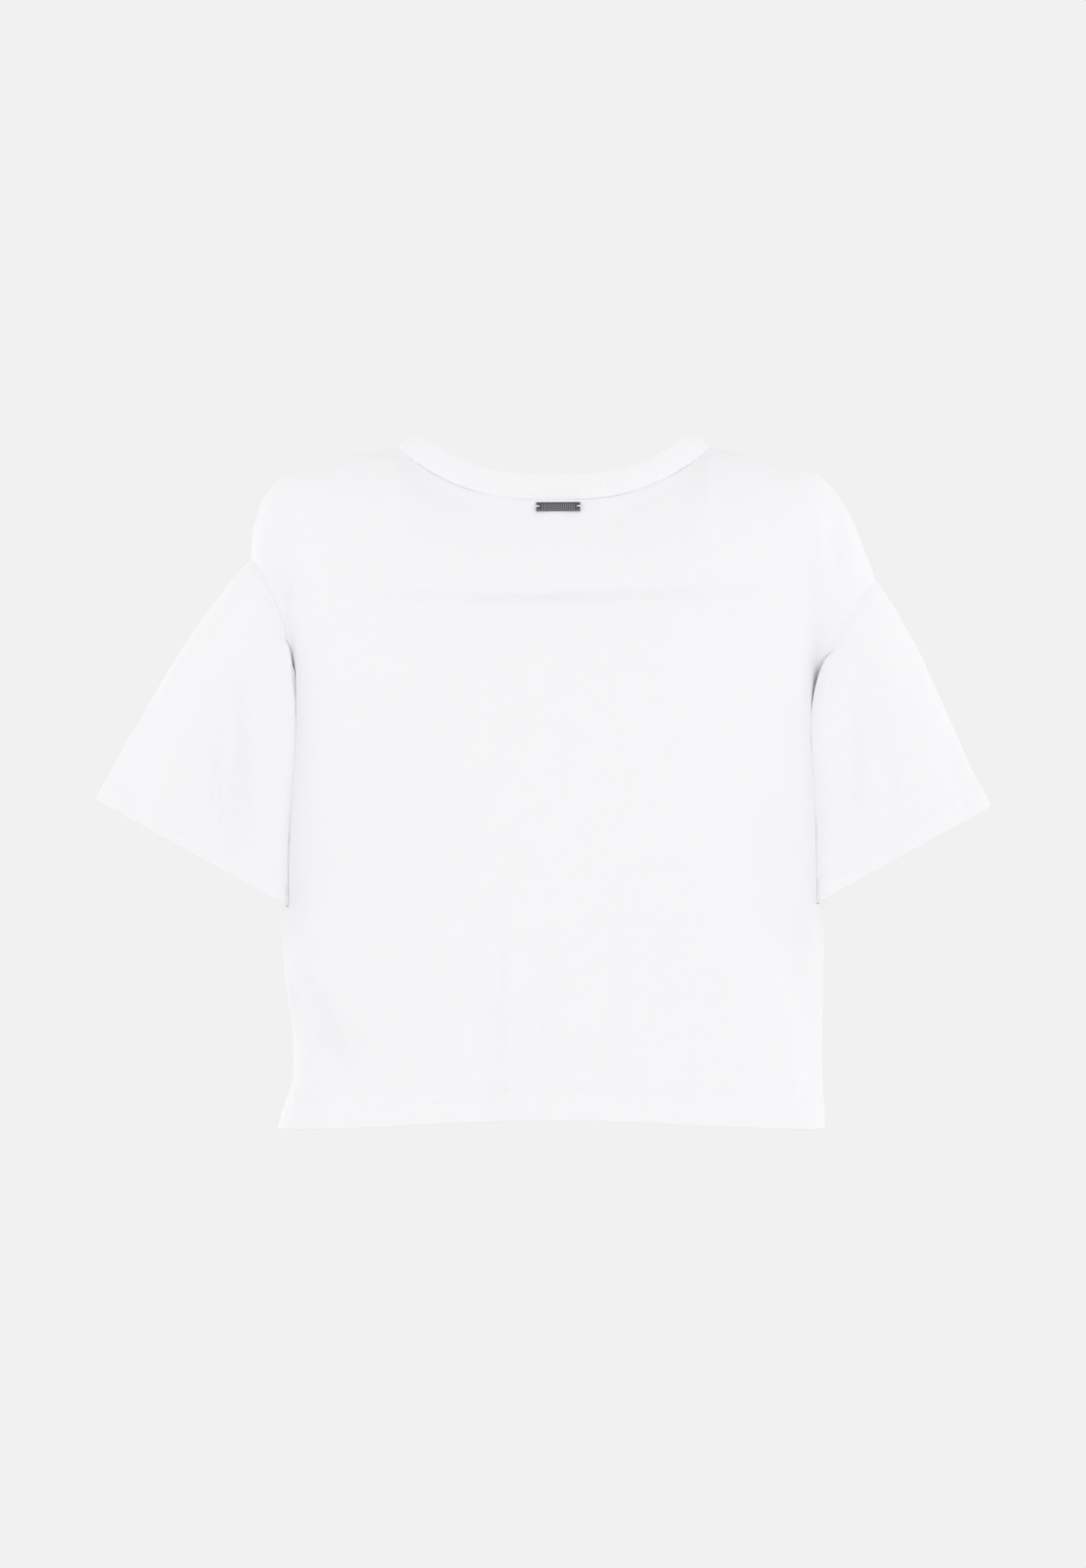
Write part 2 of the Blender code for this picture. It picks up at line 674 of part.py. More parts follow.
def cut_hole(plate, middle, frame, name):
    """Cuts a round hole through the plate with a hidden cutter."""
    bm = bmesh.new()
    bmesh.ops.create_cone(
        bm, cap_ends=True, segments=BAR_HOLE_FACES, radius1=BAR_HOLE / 2, radius2=BAR_HOLE / 2,
        depth=3 * BAR_THICKNESS,
    )
    for vertex in bm.verts:
        vertex.co = middle + np.array(vertex.co) @ frame
    cutter = new_object(name, bm, plate.active_material)
    cutter.hide_render = True
    cutter.display_type = "WIRE"
    hole = plate.modifiers.new(name, "BOOLEAN")
    hole.object = cutter
    hole.operation = "DIFFERENCE"


def new_material(name, color, roughness, metallic=0.0):
    """A plain finish in the piece's own colour."""
    material = bpy.data.materials.new(name)
    material.use_nodes = True
    shader = material.node_tree.nodes["Principled BSDF"]
    shader.inputs["Base Color"].default_value = (*color, 1)
    shader.inputs["Roughness"].default_value = roughness
    shader.inputs["Metallic"].default_value = metallic
    return material


def clear_scene():
    """Removes whatever the scene holds."""
    for thing in list(bpy.data.objects):
        bpy.data.objects.remove(thing, do_unlink=True)


def build():
    """Makes the garment's six pieces."""
    clear_scene()
    for slot, name, face, columns, folds in (
        ("back", "back_panel", BACK, BACK_COLUMNS, BACK_FOLDS),
        ("front", "front_panel", FRONT, FRONT_COLUMNS, FRONT_FOLDS),
    ):
        add_wall(name, *panel_grids(face, columns, folds), new_material(slot, WHITE, JERSEY_ROUGHNESS))
    for name, side, lines, folds in (
        ("sleeve_left", LEFT, LEFT_LINES, LEFT_SLEEVE_FOLDS),
        ("sleeve_right", RIGHT, RIGHT_LINES, RIGHT_SLEEVE_FOLDS),
    ):
        jersey = new_material(name, WHITE, JERSEY_ROUGHNESS)
        add_wall(name, *sleeve_grids(side, lines, folds), jersey, tube=True)
    add_ring("neck_band", band_grid(), new_material("band", WHITE, JERSEY_ROUGHNESS))
    add_bar(new_material("gunmetal", GUNMETAL, GUNMETAL_ROUGHNESS, metallic=1.0))


build()
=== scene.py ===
"""The looks of a white, boxy, cropped short sleeve t-shirt that keeps the hollow shape of a wearer.

The back faces -Y and the front +Y, the left sleeve is at -X, and +Z is up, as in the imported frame.
Sizes of the cloth are in millimetres, and MM turns them into metres where a mesh is made. Each cut
piece is a closed shell of jersey on the form of its solid, with finer rows and columns, the creases
of the photograph, a turned hem and sunk seams. A length "out" runs away from the middle of the
garment in X, and "deep" runs away from the plane of the side and shoulder seams in Y.
"""

from __future__ import annotations

import logging
import math
from dataclasses import dataclass
from enum import Enum
from typing import Any, NamedTuple, Sequence

import bmesh
import bpy
import numpy as np
from mathutils import Matrix, Vector

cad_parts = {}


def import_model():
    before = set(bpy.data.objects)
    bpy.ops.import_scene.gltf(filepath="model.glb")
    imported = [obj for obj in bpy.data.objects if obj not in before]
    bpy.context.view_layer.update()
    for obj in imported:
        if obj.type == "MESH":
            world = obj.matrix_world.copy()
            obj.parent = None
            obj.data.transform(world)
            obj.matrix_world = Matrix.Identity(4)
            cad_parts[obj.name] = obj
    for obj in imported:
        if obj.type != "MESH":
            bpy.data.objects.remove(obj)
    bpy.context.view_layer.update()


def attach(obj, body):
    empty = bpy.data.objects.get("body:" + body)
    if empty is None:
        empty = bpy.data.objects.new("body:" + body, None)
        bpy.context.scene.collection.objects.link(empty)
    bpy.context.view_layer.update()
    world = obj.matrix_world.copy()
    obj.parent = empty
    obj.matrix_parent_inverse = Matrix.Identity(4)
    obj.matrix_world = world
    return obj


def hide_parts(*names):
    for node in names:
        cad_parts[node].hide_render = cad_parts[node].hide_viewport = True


LOG = logging.getLogger("t_shirt")

MM = 0.001
BODY = "root"

# The cloth
JERSEY = 0.9  # one layer
HEM_JERSEY = 1.9  # the doubled cloth of a hem
SEAM_GAP = 0.04  # between two pieces that are sewn together
HEM_HEIGHT = 22.0
SLEEVE_HEM_HEIGHT = 17.5
HEM_STEP = 2.5
SIDE_CALM = 0.12  # share of a panel's half width over which folds die out at a side seam
YOKE_CALM = 0.215  # share of the yoke over which they die out at the top edge
SLEEVE_CALM = 0.15  # share of a sleeve over which they die out at the armhole
FOLD_FACING = (0.1, 0.6)  # sleeve folds show on cloth that faces the back or the front

# The body
UNDERARM_Z = -215.0
HEM_Z = -495.5
HEM_RISE = 11.0
HEM_CURVE_SPAN = (0.2, 1.0)
ROUNDNESS = 2.3
SLEEVE_ROUNDNESS = 2.4  # of the opening's outer half
INNER_ROUNDNESS = 4.2  # of its half beside the body, which is pressed squarer
SECTION_STEPS = 361

# The sleeves at the armhole and on the body
ARM_CLEARANCE = 0.05
SIDE_BEGINS = 8.0  # depth below the armhole's seam at which a sleeve has its full clearance
HELD_TURN = (0.45, 0.85)
HELD_LENGTH = (0.0, 0.2)
HUG_TURN = (0.1, 0.75)  # cosine of the turn where the sleeve hangs straight down beside the body
HUG_IN = 0.8  # share of its outward slope that it loses there
HUG_DEEP = 50.0  # and the slope by which it spreads over the body's side
CORNER_PRESS = 2.0  # how flat the cloth is pressed at the corner where it leaves the body's side
PRESSED_TURN = (-0.1, 0.3)
PRESSED_LENGTH = (0.0, 0.045)
OVERLAP = 22.0  # how far the cloth there is drawn in over the body
LEAVE_CLEAR = 0.35  # least share of a line's slope that points off the panels at the armhole
START_AWAY = 1.3  # of the seam gap, by which a sleeve starts off the panels there
START_ALONG = 0.5  # and by which it starts along its own lines
NEAR_EDGE = 0.98  # share of the half width at which the normals of a panel's edge are felt out
SLIDE_BELOW = 110.0
UNDER_ARM_ZONE = (-350.0, -180.0)  # heights at which the body's sides lie under the sleeves
UNDER_ARM_SHARE = 0.74  # and the share of a panel's half width at which they start
UNDER_ARM_CALM = 0.92  # share of its folds that the cloth loses there
UNDER_ARM_FADE = (12.0, 40.0)  # distances over which this comes in below the zone and goes above
UNDER_ARM_BLEND = 0.08  # share of the half width over which it comes in across the panel
CREASE_STOP = 0.05  # share of the half width over which creases end at a side seam
CREASE_REACH = 1.6  # how much sooner than folds they come up from a seam
PARTNER_AWAY = 1.7  # of a fold's width, from its line to its partner's
PARTNER_WIDTH = 1.1  # of a fold's width
RIPPLE_DEPTH = 0.6  # share of the depth that counts with the width in a ripple

# The neck
NECK_HALF_WIDTH = 114.0
EDGE_HALF_WIDTH = 97.0
EDGE_TOP = 11.0
NECK_SHARE = 0.5
NECK_POWER = 2.64
EDGE_POWER = 2.8
SEAM_FROM_NECK = (24.0, -3.0)
SEAM_LEAD = 0.8

# How finely the cloth is made
COLUMN_STEP = 2.9
ROW_STEP = 3.1
HEM_ROW_STEP = 1.3
EDGE_ROWS = (0.4, 0.9, 1.6, 2.6, 4.0, 5.6, 7.4, 9.2)  # extra rows at these distances from a seam
FOLD_EDGE_ROWS = (0.12, 0.45, 0.95)  # and round the turned edge of a hem
EDGE_ANGLE = math.radians(55)  # cut edges steeper than this stay sharp

# The studio
GROUND_TONE = 0.8796  # of the floor and of the sky


# ---------------------------------------------------------------------------------------------
# The form of the garment
# ---------------------------------------------------------------------------------------------


class Section(NamedTuple):
    """Outer sizes of the body at one height, from the middle to the cloth."""

    z: float
    left: float
    right: float
    back: float
    front: float


BODY_SECTIONS = (  # z, left, right, back, front
    Section(-500, 202, 197.5, 109, 110),
    Section(-484, 197, 196.5, 108, 110),
    Section(-458, 190, 195.5, 107, 110),
    Section(-430, 190, 195.5, 107, 111),
    Section(-390, 195, 196, 108, 113),
    Section(-330, 198.5, 198, 110, 116),
    Section(-270, 199, 199, 113, 119),
    Section(UNDERARM_Z, 198, 198, 114, 120),
)


class Side(NamedTuple):
    """Where the left or the right half of the garment hangs, seen square on from the back."""

    sign: int
    bend: tuple[float, float]
    bend_handle: tuple[float, float]
    tip_handle: tuple[float, float]
    tip: tuple[float, float]
    cuff_outer: tuple[float, float]
    cuff_inner: tuple[float, float]
    cuff_half_depth: float
    cuff_forward: float


LEFT = Side(
    sign=-1, bend=(182, -14.5), bend_handle=(212, -23.5), tip_handle=(219, -41), tip=(221, -81),
    cuff_outer=(334, -256), cuff_inner=(185, -338), cuff_half_depth=38, cuff_forward=2,
)
RIGHT = Side(
    sign=1, bend=(182, -14), bend_handle=(208, -20.5), tip_handle=(224, -64), tip=(235, -97),
    cuff_outer=(318, -261), cuff_inner=(184, -335), cuff_half_depth=43, cuff_forward=3,
)


class SleeveLine(NamedTuple):
    """How a lengthwise line of a sleeve leaves the armhole and meets the cuff (out, deep, up)."""

    leave: tuple[float, float, float]
    arrive: tuple[float, float, float]


class SleeveLines(NamedTuple):
    """The lines at the underarm, at the middle of the back and front, and at the shoulder."""

    underarm: SleeveLine
    middle: SleeveLine
    shoulder: SleeveLine


LEFT_LINES = SleeveLines(
    underarm=SleeveLine((26, 0, -80), (-4, 0, -96)),
    middle=SleeveLine((104, 22, -70), (46, 0, -132)),
    shoulder=SleeveLine((118, 0, -120), (92, 0, -168)),
)
RIGHT_LINES = SleeveLines(
    underarm=SleeveLine((26, 0, -80), (-4, 0, -96)),
    middle=SleeveLine((96, 24, -76), (40, 0, -132)),
    shoulder=SleeveLine((85, 0, -122), (82, 0, -160)),
)


class Face(NamedTuple):
    """The back or the front: how far its neck seam and band lie from the shoulders."""

    sign: int
    neck_deep: float
    neck_drop: float
    edge_deep: float
    edge_drop: float


BACK = Face(sign=-1, neck_deep=65, neck_drop=41, edge_deep=58, edge_drop=33)
FRONT = Face(sign=1, neck_deep=94, neck_drop=98, edge_deep=84, edge_drop=92)


class Column(NamedTuple):
    """Handles (out, deep, up) of one column of a panel, from the underarm up to its top edge."""

    across: float
    low: tuple[float, float, float]
    high: tuple[float, float, float]


BACK_COLUMNS = (  # across, low handle, high handle
    Column(0.00, (0, 0, 82), (0, 34, -50)),
    Column(0.25, (0, 0, 88), (5, 42, -40)),
    Column(0.50, (0, 1, 98), (6, 76, -13)),
    Column(0.70, (-4, 8, 96), (-6, 76, -8)),
    Column(0.86, (-15, 28, 76), (-24, 74, -8)),
    Column(1.00, (-26, 50, 36), (-18, 76, -14)),
)
FRONT_COLUMNS = (  # across, low handle, high handle
    Column(0.00, (0, 0, 55), (0, 14, -38)),
    Column(0.25, (0, 0, 66), (4, 30, -40)),
    Column(0.50, (0, 0, 92), (6, 76, -16)),
    Column(0.70, (-5, 7, 96), (-8, 75, -10)),
    Column(0.86, (-17, 27, 76), (-27, 72, -9)),
    Column(1.00, (-28, 48, 36), (-22, 74, -14)),
)


class Fold(NamedTuple):
    """A soft ridge (height over 0) or trough (under 0) between two points seen square on.

    A bow bends its line sideways in the middle, and a partner is the share of its height that an
    opposite fold has right beside it, as in cloth that is pushed together.
    """

    x0: float
    z0: float
    x1: float
    z1: float
    width: float
    height: float
    bow: float = 0.0
    partner: float = 0.0


BACK_FOLDS = (  # x0, z0, x1, z1, width, height, bow, partner
    Fold(-165, -106, 188, -106, 13, -3.0),
    Fold(-203, -388, -150, -462, 15, -7.5),
    Fold(-196, -330, -128, -430, 20, 4.0),
    Fold(-50, -330, -52, -520, 17, -5.0),
    Fold(-14, -350, -12, -520, 13, -3.5),
    Fold(58, -300, 72, -520, 24, -5.5),
    Fold(-104, -260, -112, -520, 22, -4.0),
    Fold(128, -330, 140, -520, 22, 4.0),
    Fold(150, -250, 196, -480, 15, -5.0),
)
BACK_CREASES = (  # x0, z0, x1, z1, width, height, bow, partner
    # The drag across the shoulder blades
    Fold(-176, -103, 40, -107, 5.5, -1.9, 2.0, -0.5),
    Fold(-30, -107, 190, -105, 6.0, -1.7, -1.5, -0.5),
    Fold(-118, -88, -62, -94, 8.0, -1.2),
    Fold(84, -97, 160, -99, 8.0, -1.0),
    Fold(-44, -87, -20, -92, 5.0, -0.7),
    # The hollow that follows the neck seam
    Fold(-118, -16, -34, -62, 9.0, -1.6, -7.0),
    Fold(-42, -63, 44, -63, 8.0, -1.3, -3.0),
    Fold(30, -60, 128, -15, 9.0, -1.6, -7.0),
    # Where the dropped shoulders turn down to the armholes
    Fold(189, -46, 192, -112, 4.0, 2.2),
    Fold(203, -40, 206, -112, 7.5, -2.8),
    Fold(-195, -66, -191, -112, 4.0, 1.9),
    Fold(-207, -52, -206, -104, 7.0, -2.5),
    Fold(176, -112, 186, -196, 6.0, -1.2, 0, -0.5),
    Fold(-178, -110, -184, -186, 5.0, -1.1, 0, -0.4),
    # The pull at the left side, above the hem
    Fold(-202, -390, -156, -449, 5.5, -2.2, 3.0, -0.6),
    Fold(-199, -418, -166, -458, 5.0, -1.4, 2.0, -0.4),
    Fold(-198, -452, -166, -473, 6.0, -1.9, 0, -0.4),
    Fold(-196, -296, -180, -372, 9.0, -1.5),
    Fold(-182, -352, -140, -414, 9.0, -1.5, -4.0),
    # The upright folds of the lower back
    Fold(-127, -242, -138, -362, 7.5, -1.5, 2.0, -0.3),
    Fold(-88, -372, -72, -476, 9.0, -1.6, -2.0),
    Fold(-40, -322, -38, -400, 4.5, -1.0, 0, -0.5),
    Fold(-31, -362, -30, -500, 5.5, 1.4),
    Fold(-12, -372, -14, -474, 6.0, -1.5, 0, -0.3),
    Fold(14, -408, 20, -470, 5.0, -0.9),
    Fold(92, -332, 84, -420, 6.0, -1.4, 1.5, -0.4),
    Fold(64, -352, 48, -476, 8.0, -1.6, 3.0),
    Fold(100, -398, 102, -500, 5.0, 1.0, 0, -0.5),
    Fold(145, -232, 151, -280, 8.0, 1.5),
    Fold(147, -268, 156, -372, 6.5, -1.7, -1.5, -0.4),
    # The shade at the right side, and the small hollows on the hem
    Fold(199, -408, 168, -458, 8.0, -2.2, -3.0, -0.3),
    Fold(199, -446, 176, -470, 5.0, -1.3, 0, -0.4),
    Fold(-72, -463, -34, -463, 5.5, -1.5),
    Fold(32, -463, 60, -463, 5.5, -1.5),
    Fold(-150, -470, -110, -466, 5.0, -0.9),
    Fold(112, -466, 150, -469, 5.0, -0.8),
)
FRONT_FOLDS = (  # x0, z0, x1, z1, width, height, bow, partner
    Fold(-150, -150, -40, -235, 17, -3.5),
    Fold(152, -160, 52, -250, 18, -4.0),
    Fold(-118, -290, -128, -520, 22, -5.0),
    Fold(-62, -320, -58, -520, 20, 4.0),
    Fold(-8, -300, 4, -520, 24, -5.5),
    Fold(74, -330, 80, -520, 20, -4.5),
    Fold(138, -280, 150, -520, 22, 4.5),
    Fold(186, -300, 150, -420, 16, -4.0),
)
FRONT_CREASES = (  # x0, z0, x1, z1, width, height, bow, partner
    # Drags from the armholes across the chest
    Fold(-184, -128, -92, -168, 6.5, -1.8, 4.0, -0.5),
    Fold(-186, -160, -118, -214, 6.0, -1.5, 3.0, -0.4),
    Fold(186, -136, 100, -180, 7.0, -1.9, -4.0, -0.5),
    Fold(184, -170, 126, -226, 5.5, -1.3, -3.0, -0.4),
    Fold(-76, -126, 70, -130, 9.0, -1.3, 6.0),
    # The hollow that follows the neck seam
    Fold(-116, -26, -64, -104, 9.0, -1.5, -6.0),
    Fold(-60, -112, 60, -112, 8.0, -1.2, -6.0),
    Fold(66, -102, 118, -24, 9.0, -1.5, -6.0),
    # Where the dropped shoulders turn down
    Fold(-191, -58, -191, -110, 4.5, 1.6),
    Fold(-205, -50, -207, -104, 8.0, -2.2),
    Fold(191, -52, 191, -112, 4.5, 1.7),
    Fold(206, -46, 208, -110, 9.0, -2.4),
    # The upright folds of the lower front
    Fold(-158, -262, -168, -402, 7.5, -1.6, -3.0, -0.4),
    Fold(-98, -330, -90, -474, 8.0, -1.6, 2.0, -0.3),
    Fold(-34, -352, -30, -500, 5.5, 1.3, 0, -0.4),
    Fold(22, -332, 26, -470, 6.0, -1.5, -2.0, -0.3),
    Fold(54, -382, 52, -476, 5.0, -1.0),
    Fold(104, -300, 112, -430, 7.0, -1.6, 2.0, -0.4),
    Fold(168, -330, 174, -470, 6.0, 1.3, 0, -0.4),
    # Short pulls above the hem
    Fold(-198, -404, -160, -452, 6.0, -1.9, 3.0, -0.4),
    Fold(198, -398, 164, -446, 7.0, -1.8, -3.0, -0.4),
    Fold(-134, -463, -104, -464, 5.0, -1.2),
    Fold(-6, -463, 26, -462, 5.0, -1.3),
    Fold(78, -464, 112, -463, 5.0, -1.1),
)
LEFT_SLEEVE_FOLDS = (  # x0, z0, x1, z1, width, height, bow, partner
    Fold(-232, -170, -243, -330, 10, -5.0),
    Fold(-210, -110, -214, -335, 11, 3.5),
    Fold(-292, -175, -312, -300, 14, -4.5),
)
LEFT_SLEEVE_CREASES = (  # x0, z0, x1, z1, width, height, bow, partner
    Fold(-241, -186, -237, -300, 4.5, -1.7, 2.0, -0.5),
    Fold(-221, -132, -219, -262, 5.0, 1.2, 0, -0.4),
    Fold(-208, -118, -212, -248, 5.0, -1.1, -2.0, -0.4),
    Fold(-284, -192, -321, -250, 8.0, -1.9, -3.0),
    Fold(-262, -150, -280, -232, 6.5, -1.1, 2.0, -0.4),
    Fold(-262, -236, -272, -296, 5.5, 1.1, 0, -0.3),
)
RIGHT_SLEEVE_FOLDS = (  # x0, z0, x1, z1, width, height, bow, partner
    Fold(205, -105, 208, -335, 12, 4.0),
    Fold(232, -160, 240, -330, 13, -5.0),
    Fold(288, -190, 300, -300, 14, -4.5),
)
RIGHT_SLEEVE_CREASES = (  # x0, z0, x1, z1, width, height, bow, partner
    Fold(219, -142, 222, -300, 5.0, -1.3, -1.5, -0.5),
    Fold(246, -168, 256, -286, 5.5, 1.2, 2.0, -0.4),
    Fold(262, -246, 242, -276, 6.0, -1.5, 0, -0.3),
    Fold(241, -282, 229, -300, 5.0, -1.1),
    Fold(276, -204, 306, -258, 8.5, -1.9, 2.5),
    Fold(240, -118, 262, -176, 6.0, -0.9, 0, -0.4),
)


class Ripple(NamedTuple):
    """One slow wave of the uneven lie of the cloth."""

    wave_x: float  # millimetres from crest to crest
    wave_z: float
    phase: float
    height: float


RIPPLES = (  # wave_x, wave_z, phase, height
    Ripple(97, 143, 0.7, 0.30),
    Ripple(-61, 88, 2.1, 0.20),
    Ripple(38, -57, 4.0, 0.11),
    Ripple(-23, -31, 5.2, 0.05),
)


def unit(vectors: np.ndarray) -> np.ndarray:
    """Vectors along the last axis, made one long."""
    return vectors / np.linalg.norm(vectors, axis=-1, keepdims=True)


def smooth_step(values: np.ndarray, low: float, high: float) -> np.ndarray:
    """0 below low and 1 above high, with a soft rise between them."""
    share = np.clip((values - low) / (high - low), 0, 1)
    return share * share * (3 - 2 * share)


def hermite(start: Any, start_slope: Any, end: Any, end_slope: Any, share: np.ndarray) -> np.ndarray:
    """Cubic from start to end, with the slopes that it has there.

    Args:
        start: Value where share is 0.
        start_slope: Slope there, over the whole stretch.
        end: Value where share is 1.
        end_slope: Slope there, over the whole stretch.
        share: Places from 0 to 1.

    Returns:
        The value at each place.
    """
    square, cube = share**2, share**3
    return (
        (2 * cube - 3 * square + 1) * start
        + (cube - 2 * square + share) * start_slope
        + (3 * square - 2 * cube) * end
        + (cube - square) * end_slope
    )


def bezier(first: Any, second: Any, third: Any, fourth: Any, share: np.ndarray) -> np.ndarray:
    """Cubic with four control points.

    Args:
        first: Start of the curve.
        second: Control point that it leaves towards.
        third: Control point that it arrives from.
        fourth: End of the curve.
        share: Places from 0 to 1.

    Returns:
        The point at each place.
    """
    rest = 1 - share
    return (
        rest**3 * first
        + 3 * rest**2 * share * second
        + 3 * rest * share**2 * third
        + share**3 * fourth
    )


def spline(knots: np.ndarray, values: np.ndarray, at: np.ndarray) -> np.ndarray:
    """Smooth curve through a short table's values, read at many places.

    Args:
        knots: Where the table's rows stand, rising.
        values: The rows.
        at: The places to read.

    Returns:
        A row for each place.
    """
    slopes = np.gradient(values, knots, axis=0, edge_order=1)
    index = np.clip(np.searchsorted(knots, at) - 1, 0, len(knots) - 2)
    width = (knots[index + 1] - knots[index])[:, None]
    share = (at - knots[index])[:, None] / width
    return hermite(
        values[index], slopes[index] * width, values[index + 1], slopes[index + 1] * width, share
    )


def arc_lengths(points: np.ndarray, axis: int) -> np.ndarray:
    """Distance run along the lines of a grid from its first row (axis 0) or column (axis 1).

    Args:
        points: The grid.
        axis: The axis to run along.

    Returns:
        The distance at each point, in the grid's unit.
    """
    steps = np.linalg.norm(np.diff(points, axis=axis), axis=-1)
    start = np.zeros_like(np.take(steps, [0], axis=axis))
    return np.concatenate([start, np.cumsum(steps, axis=axis)], axis=axis)


def graded(length: float, step: float, near_start: Sequence[float], near_end: Sequence[float]) -> np.ndarray:
    """Places from 0 to length about a step apart, with finer ones near the two ends.

    Args:
        length: The last place.
        step: How far apart the places are in the middle.
        near_start: Extra places, counted from 0.
        near_end: Extra places, counted back from length.

    Returns:
        The places, from 0 to length.
    """
    first = near_start[-1] if len(near_start) else 0.0
    last = length - near_end[-1] if len(near_end) else length
    count = max(2, round((last - first) / step) + 1)
    inner = np.linspace(first, last, count)
    return np.unique(np.concatenate([[0, length], near_start, inner, length - np.array(near_end)]))


def body_sizes(z: np.ndarray) -> np.ndarray:
    """(left, right, back, front) of the body at each height."""
    table = np.array(BODY_SECTIONS, float)
    return spline(table[:, 0], table[:, 1:], np.clip(z, table[0, 0], table[-1, 0]))


def section_points(across: np.ndarray, z: np.ndarray, face: Face) -> np.ndarray:
    """Points of one panel at the given shares of its half width and heights.

    Args:
        across: Shares of the half width, from -1 at the left side to 1 at the right one.
        z: A height for each, in millimetres.
        face: The face of the body that the panel covers.

    Returns:
        A point for each, in millimetres.
    """
    left, right, back, front = body_sizes(z).T
    wide = np.where(across < 0, left, right)
    deep = back if face.sign < 0 else front
    angle = np.linspace(0, math.pi / 2, SECTION_STEPS)[:, None]
    power = 2 / ROUNDNESS
    x, y = wide * np.sin(angle) ** power, deep * np.cos(angle) ** power
    lengths = np.hypot(np.diff(x, axis=0), np.diff(y, axis=0)).cumsum(axis=0)
    lengths = np.vstack([np.zeros(len(z)), lengths]) / lengths[-1]
    found = [
        (np.interp(abs(u), share, xs), np.interp(abs(u), share, ys))
        for u, share, xs, ys in zip(across, lengths.T, x.T, y.T)
    ]
    out, far = np.array(found).T
    return np.stack([np.sign(across) * out, face.sign * far, z], axis=-1)


def body_half_width(y: np.ndarray, z: np.ndarray, side: Side) -> np.ndarray:
    """How far out the body's cloth lies at each depth and height.

    Args:
        y: Depths in millimetres.
        z: Heights in millimetres.
        side: The side of the body.

    Returns:
        Distances from the middle plane, in millimetres.
    """
    left, right, back, front = body_sizes(z).T
    wide = left if side.sign < 0 else right
    deep = np.where(y < 0, back, front)
    inside = np.clip(1 - (abs(y) / deep) ** ROUNDNESS, 0, 1)
    return wide * inside ** (1 / ROUNDNESS)


def neck_seam(turn: np.ndarray, face: Face) -> np.ndarray:
    """Point on the neck seam: turn is 0 at the middle of the face and +-pi/2 at a shoulder.

    Args:
        turn: Angles in radians.
        face: The face of the body.

    Returns:
        A point for each, in millimetres.
    """
    drop = face.neck_drop * (1 - abs(np.sin(turn)) ** NECK_POWER)
    return np.stack(
        [NECK_HALF_WIDTH * np.sin(turn), face.sign * face.neck_deep * np.cos(turn), -drop], axis=-1
    )


def neck_edge(turn: np.ndarray, face: Face) -> np.ndarray:
    """Point on the free edge of the neck band.

    Args:
        turn: Angles as on the neck seam.
        face: The face of the body.

    Returns:
        A point for each, in millimetres.
    """
    height = EDGE_TOP - face.edge_drop * (1 - abs(np.sin(turn)) ** EDGE_POWER)
    return np.stack(
        [EDGE_HALF_WIDTH * np.sin(turn), face.sign * face.edge_deep * np.cos(turn), height], axis=-1
    )


def shoulder_seam(share: np.ndarray, side: Side) -> np.ndarray:
    """Point on the shoulder seam: share 0 at the neck and 1 at the top of the armhole.

    Args:
        share: Places along the seam.
        side: The side of the body.

    Returns:
        A point for each, in millimetres.
    """
    corners = np.array([side.bend, side.bend_handle, side.tip_handle, side.tip], float)
    neck = np.array([NECK_HALF_WIDTH, 0.0])
    slope = corners[1] - corners[0]
    first, second = (np.clip(2 * share - half, 0, 1)[:, None] for half in (0, 1))
    lead = corners[0] - SEAM_LEAD * slope
    near = bezier(neck, neck + SEAM_FROM_NECK, lead, corners[0], first)
    far = bezier(*corners, second)
    out, z = np.where(share[:, None] < 0.5, near, far).T
    return np.stack([side.sign * out, np.zeros_like(out), z], axis=-1)


def top_edge(across: np.ndarray, face: Face) -> np.ndarray:
    """Upper edge of a panel: the neck seam in its middle and a shoulder seam at each side.

    Args:
        across: Shares of the half width, from -1 at the left side to 1 at the right one.
        face: The face of the body that the panel covers.

    Returns:
        A point for each, in millimetres.
    """
    turn = np.clip(across / NECK_SHARE, -1, 1) * math.pi / 2
    points = neck_seam(turn, face)
    for side in (LEFT, RIGHT):
        on_shoulder = side.sign * across > NECK_SHARE
        share = (abs(across[on_shoulder]) - NECK_SHARE) / (1 - NECK_SHARE)
        points[on_shoulder] = shoulder_seam(share, side)
    return points


def handles(columns: Sequence[Column], face: Face) -> tuple[np.ndarray, np.ndarray, np.ndarray]:
    """Places, low handles and high handles of a panel's columns, from left armhole to right.

    Args:
        columns: The columns of one half.
        face: The face of the body that the panel covers.

    Returns:
        The places, the low handles and the high handles.
    """
    half = np.array([(row.across, *row.low, *row.high) for row in columns], float)
    mirrored = half[:0:-1] * [-1, -1, 1, 1, -1, 1, 1]
    table = np.concatenate([mirrored, half])
    table[:, [2, 5]] *= face.sign
    return table[:, 0], table[:, 1:4], table[:, 4:]


def yoke_points(
    across: np.ndarray, share: np.ndarray, face: Face, columns: Sequence[Column]
) -> np.ndarray:
    """Points of a panel above the underarm: share 0 at the underarm and 1 at the top edge.

    Args:
        across: Shares of the half width, from -1 at the left side to 1 at the right one.
        share: A place up the panel for each.
        face: The face of the body that the panel covers.
        columns: The panel's columns.

    Returns:
        A point for each, in millimetres.
    """
    knots, low, high = handles(columns, face)
    base = section_points(across, np.full_like(across, UNDERARM_Z), face)
    lower = base + spline(knots, low, across)
    upper = spline(knots, top_edge(knots, face) + high, across)
    return bezier(base, lower, upper, top_edge(across, face), share[:, None])


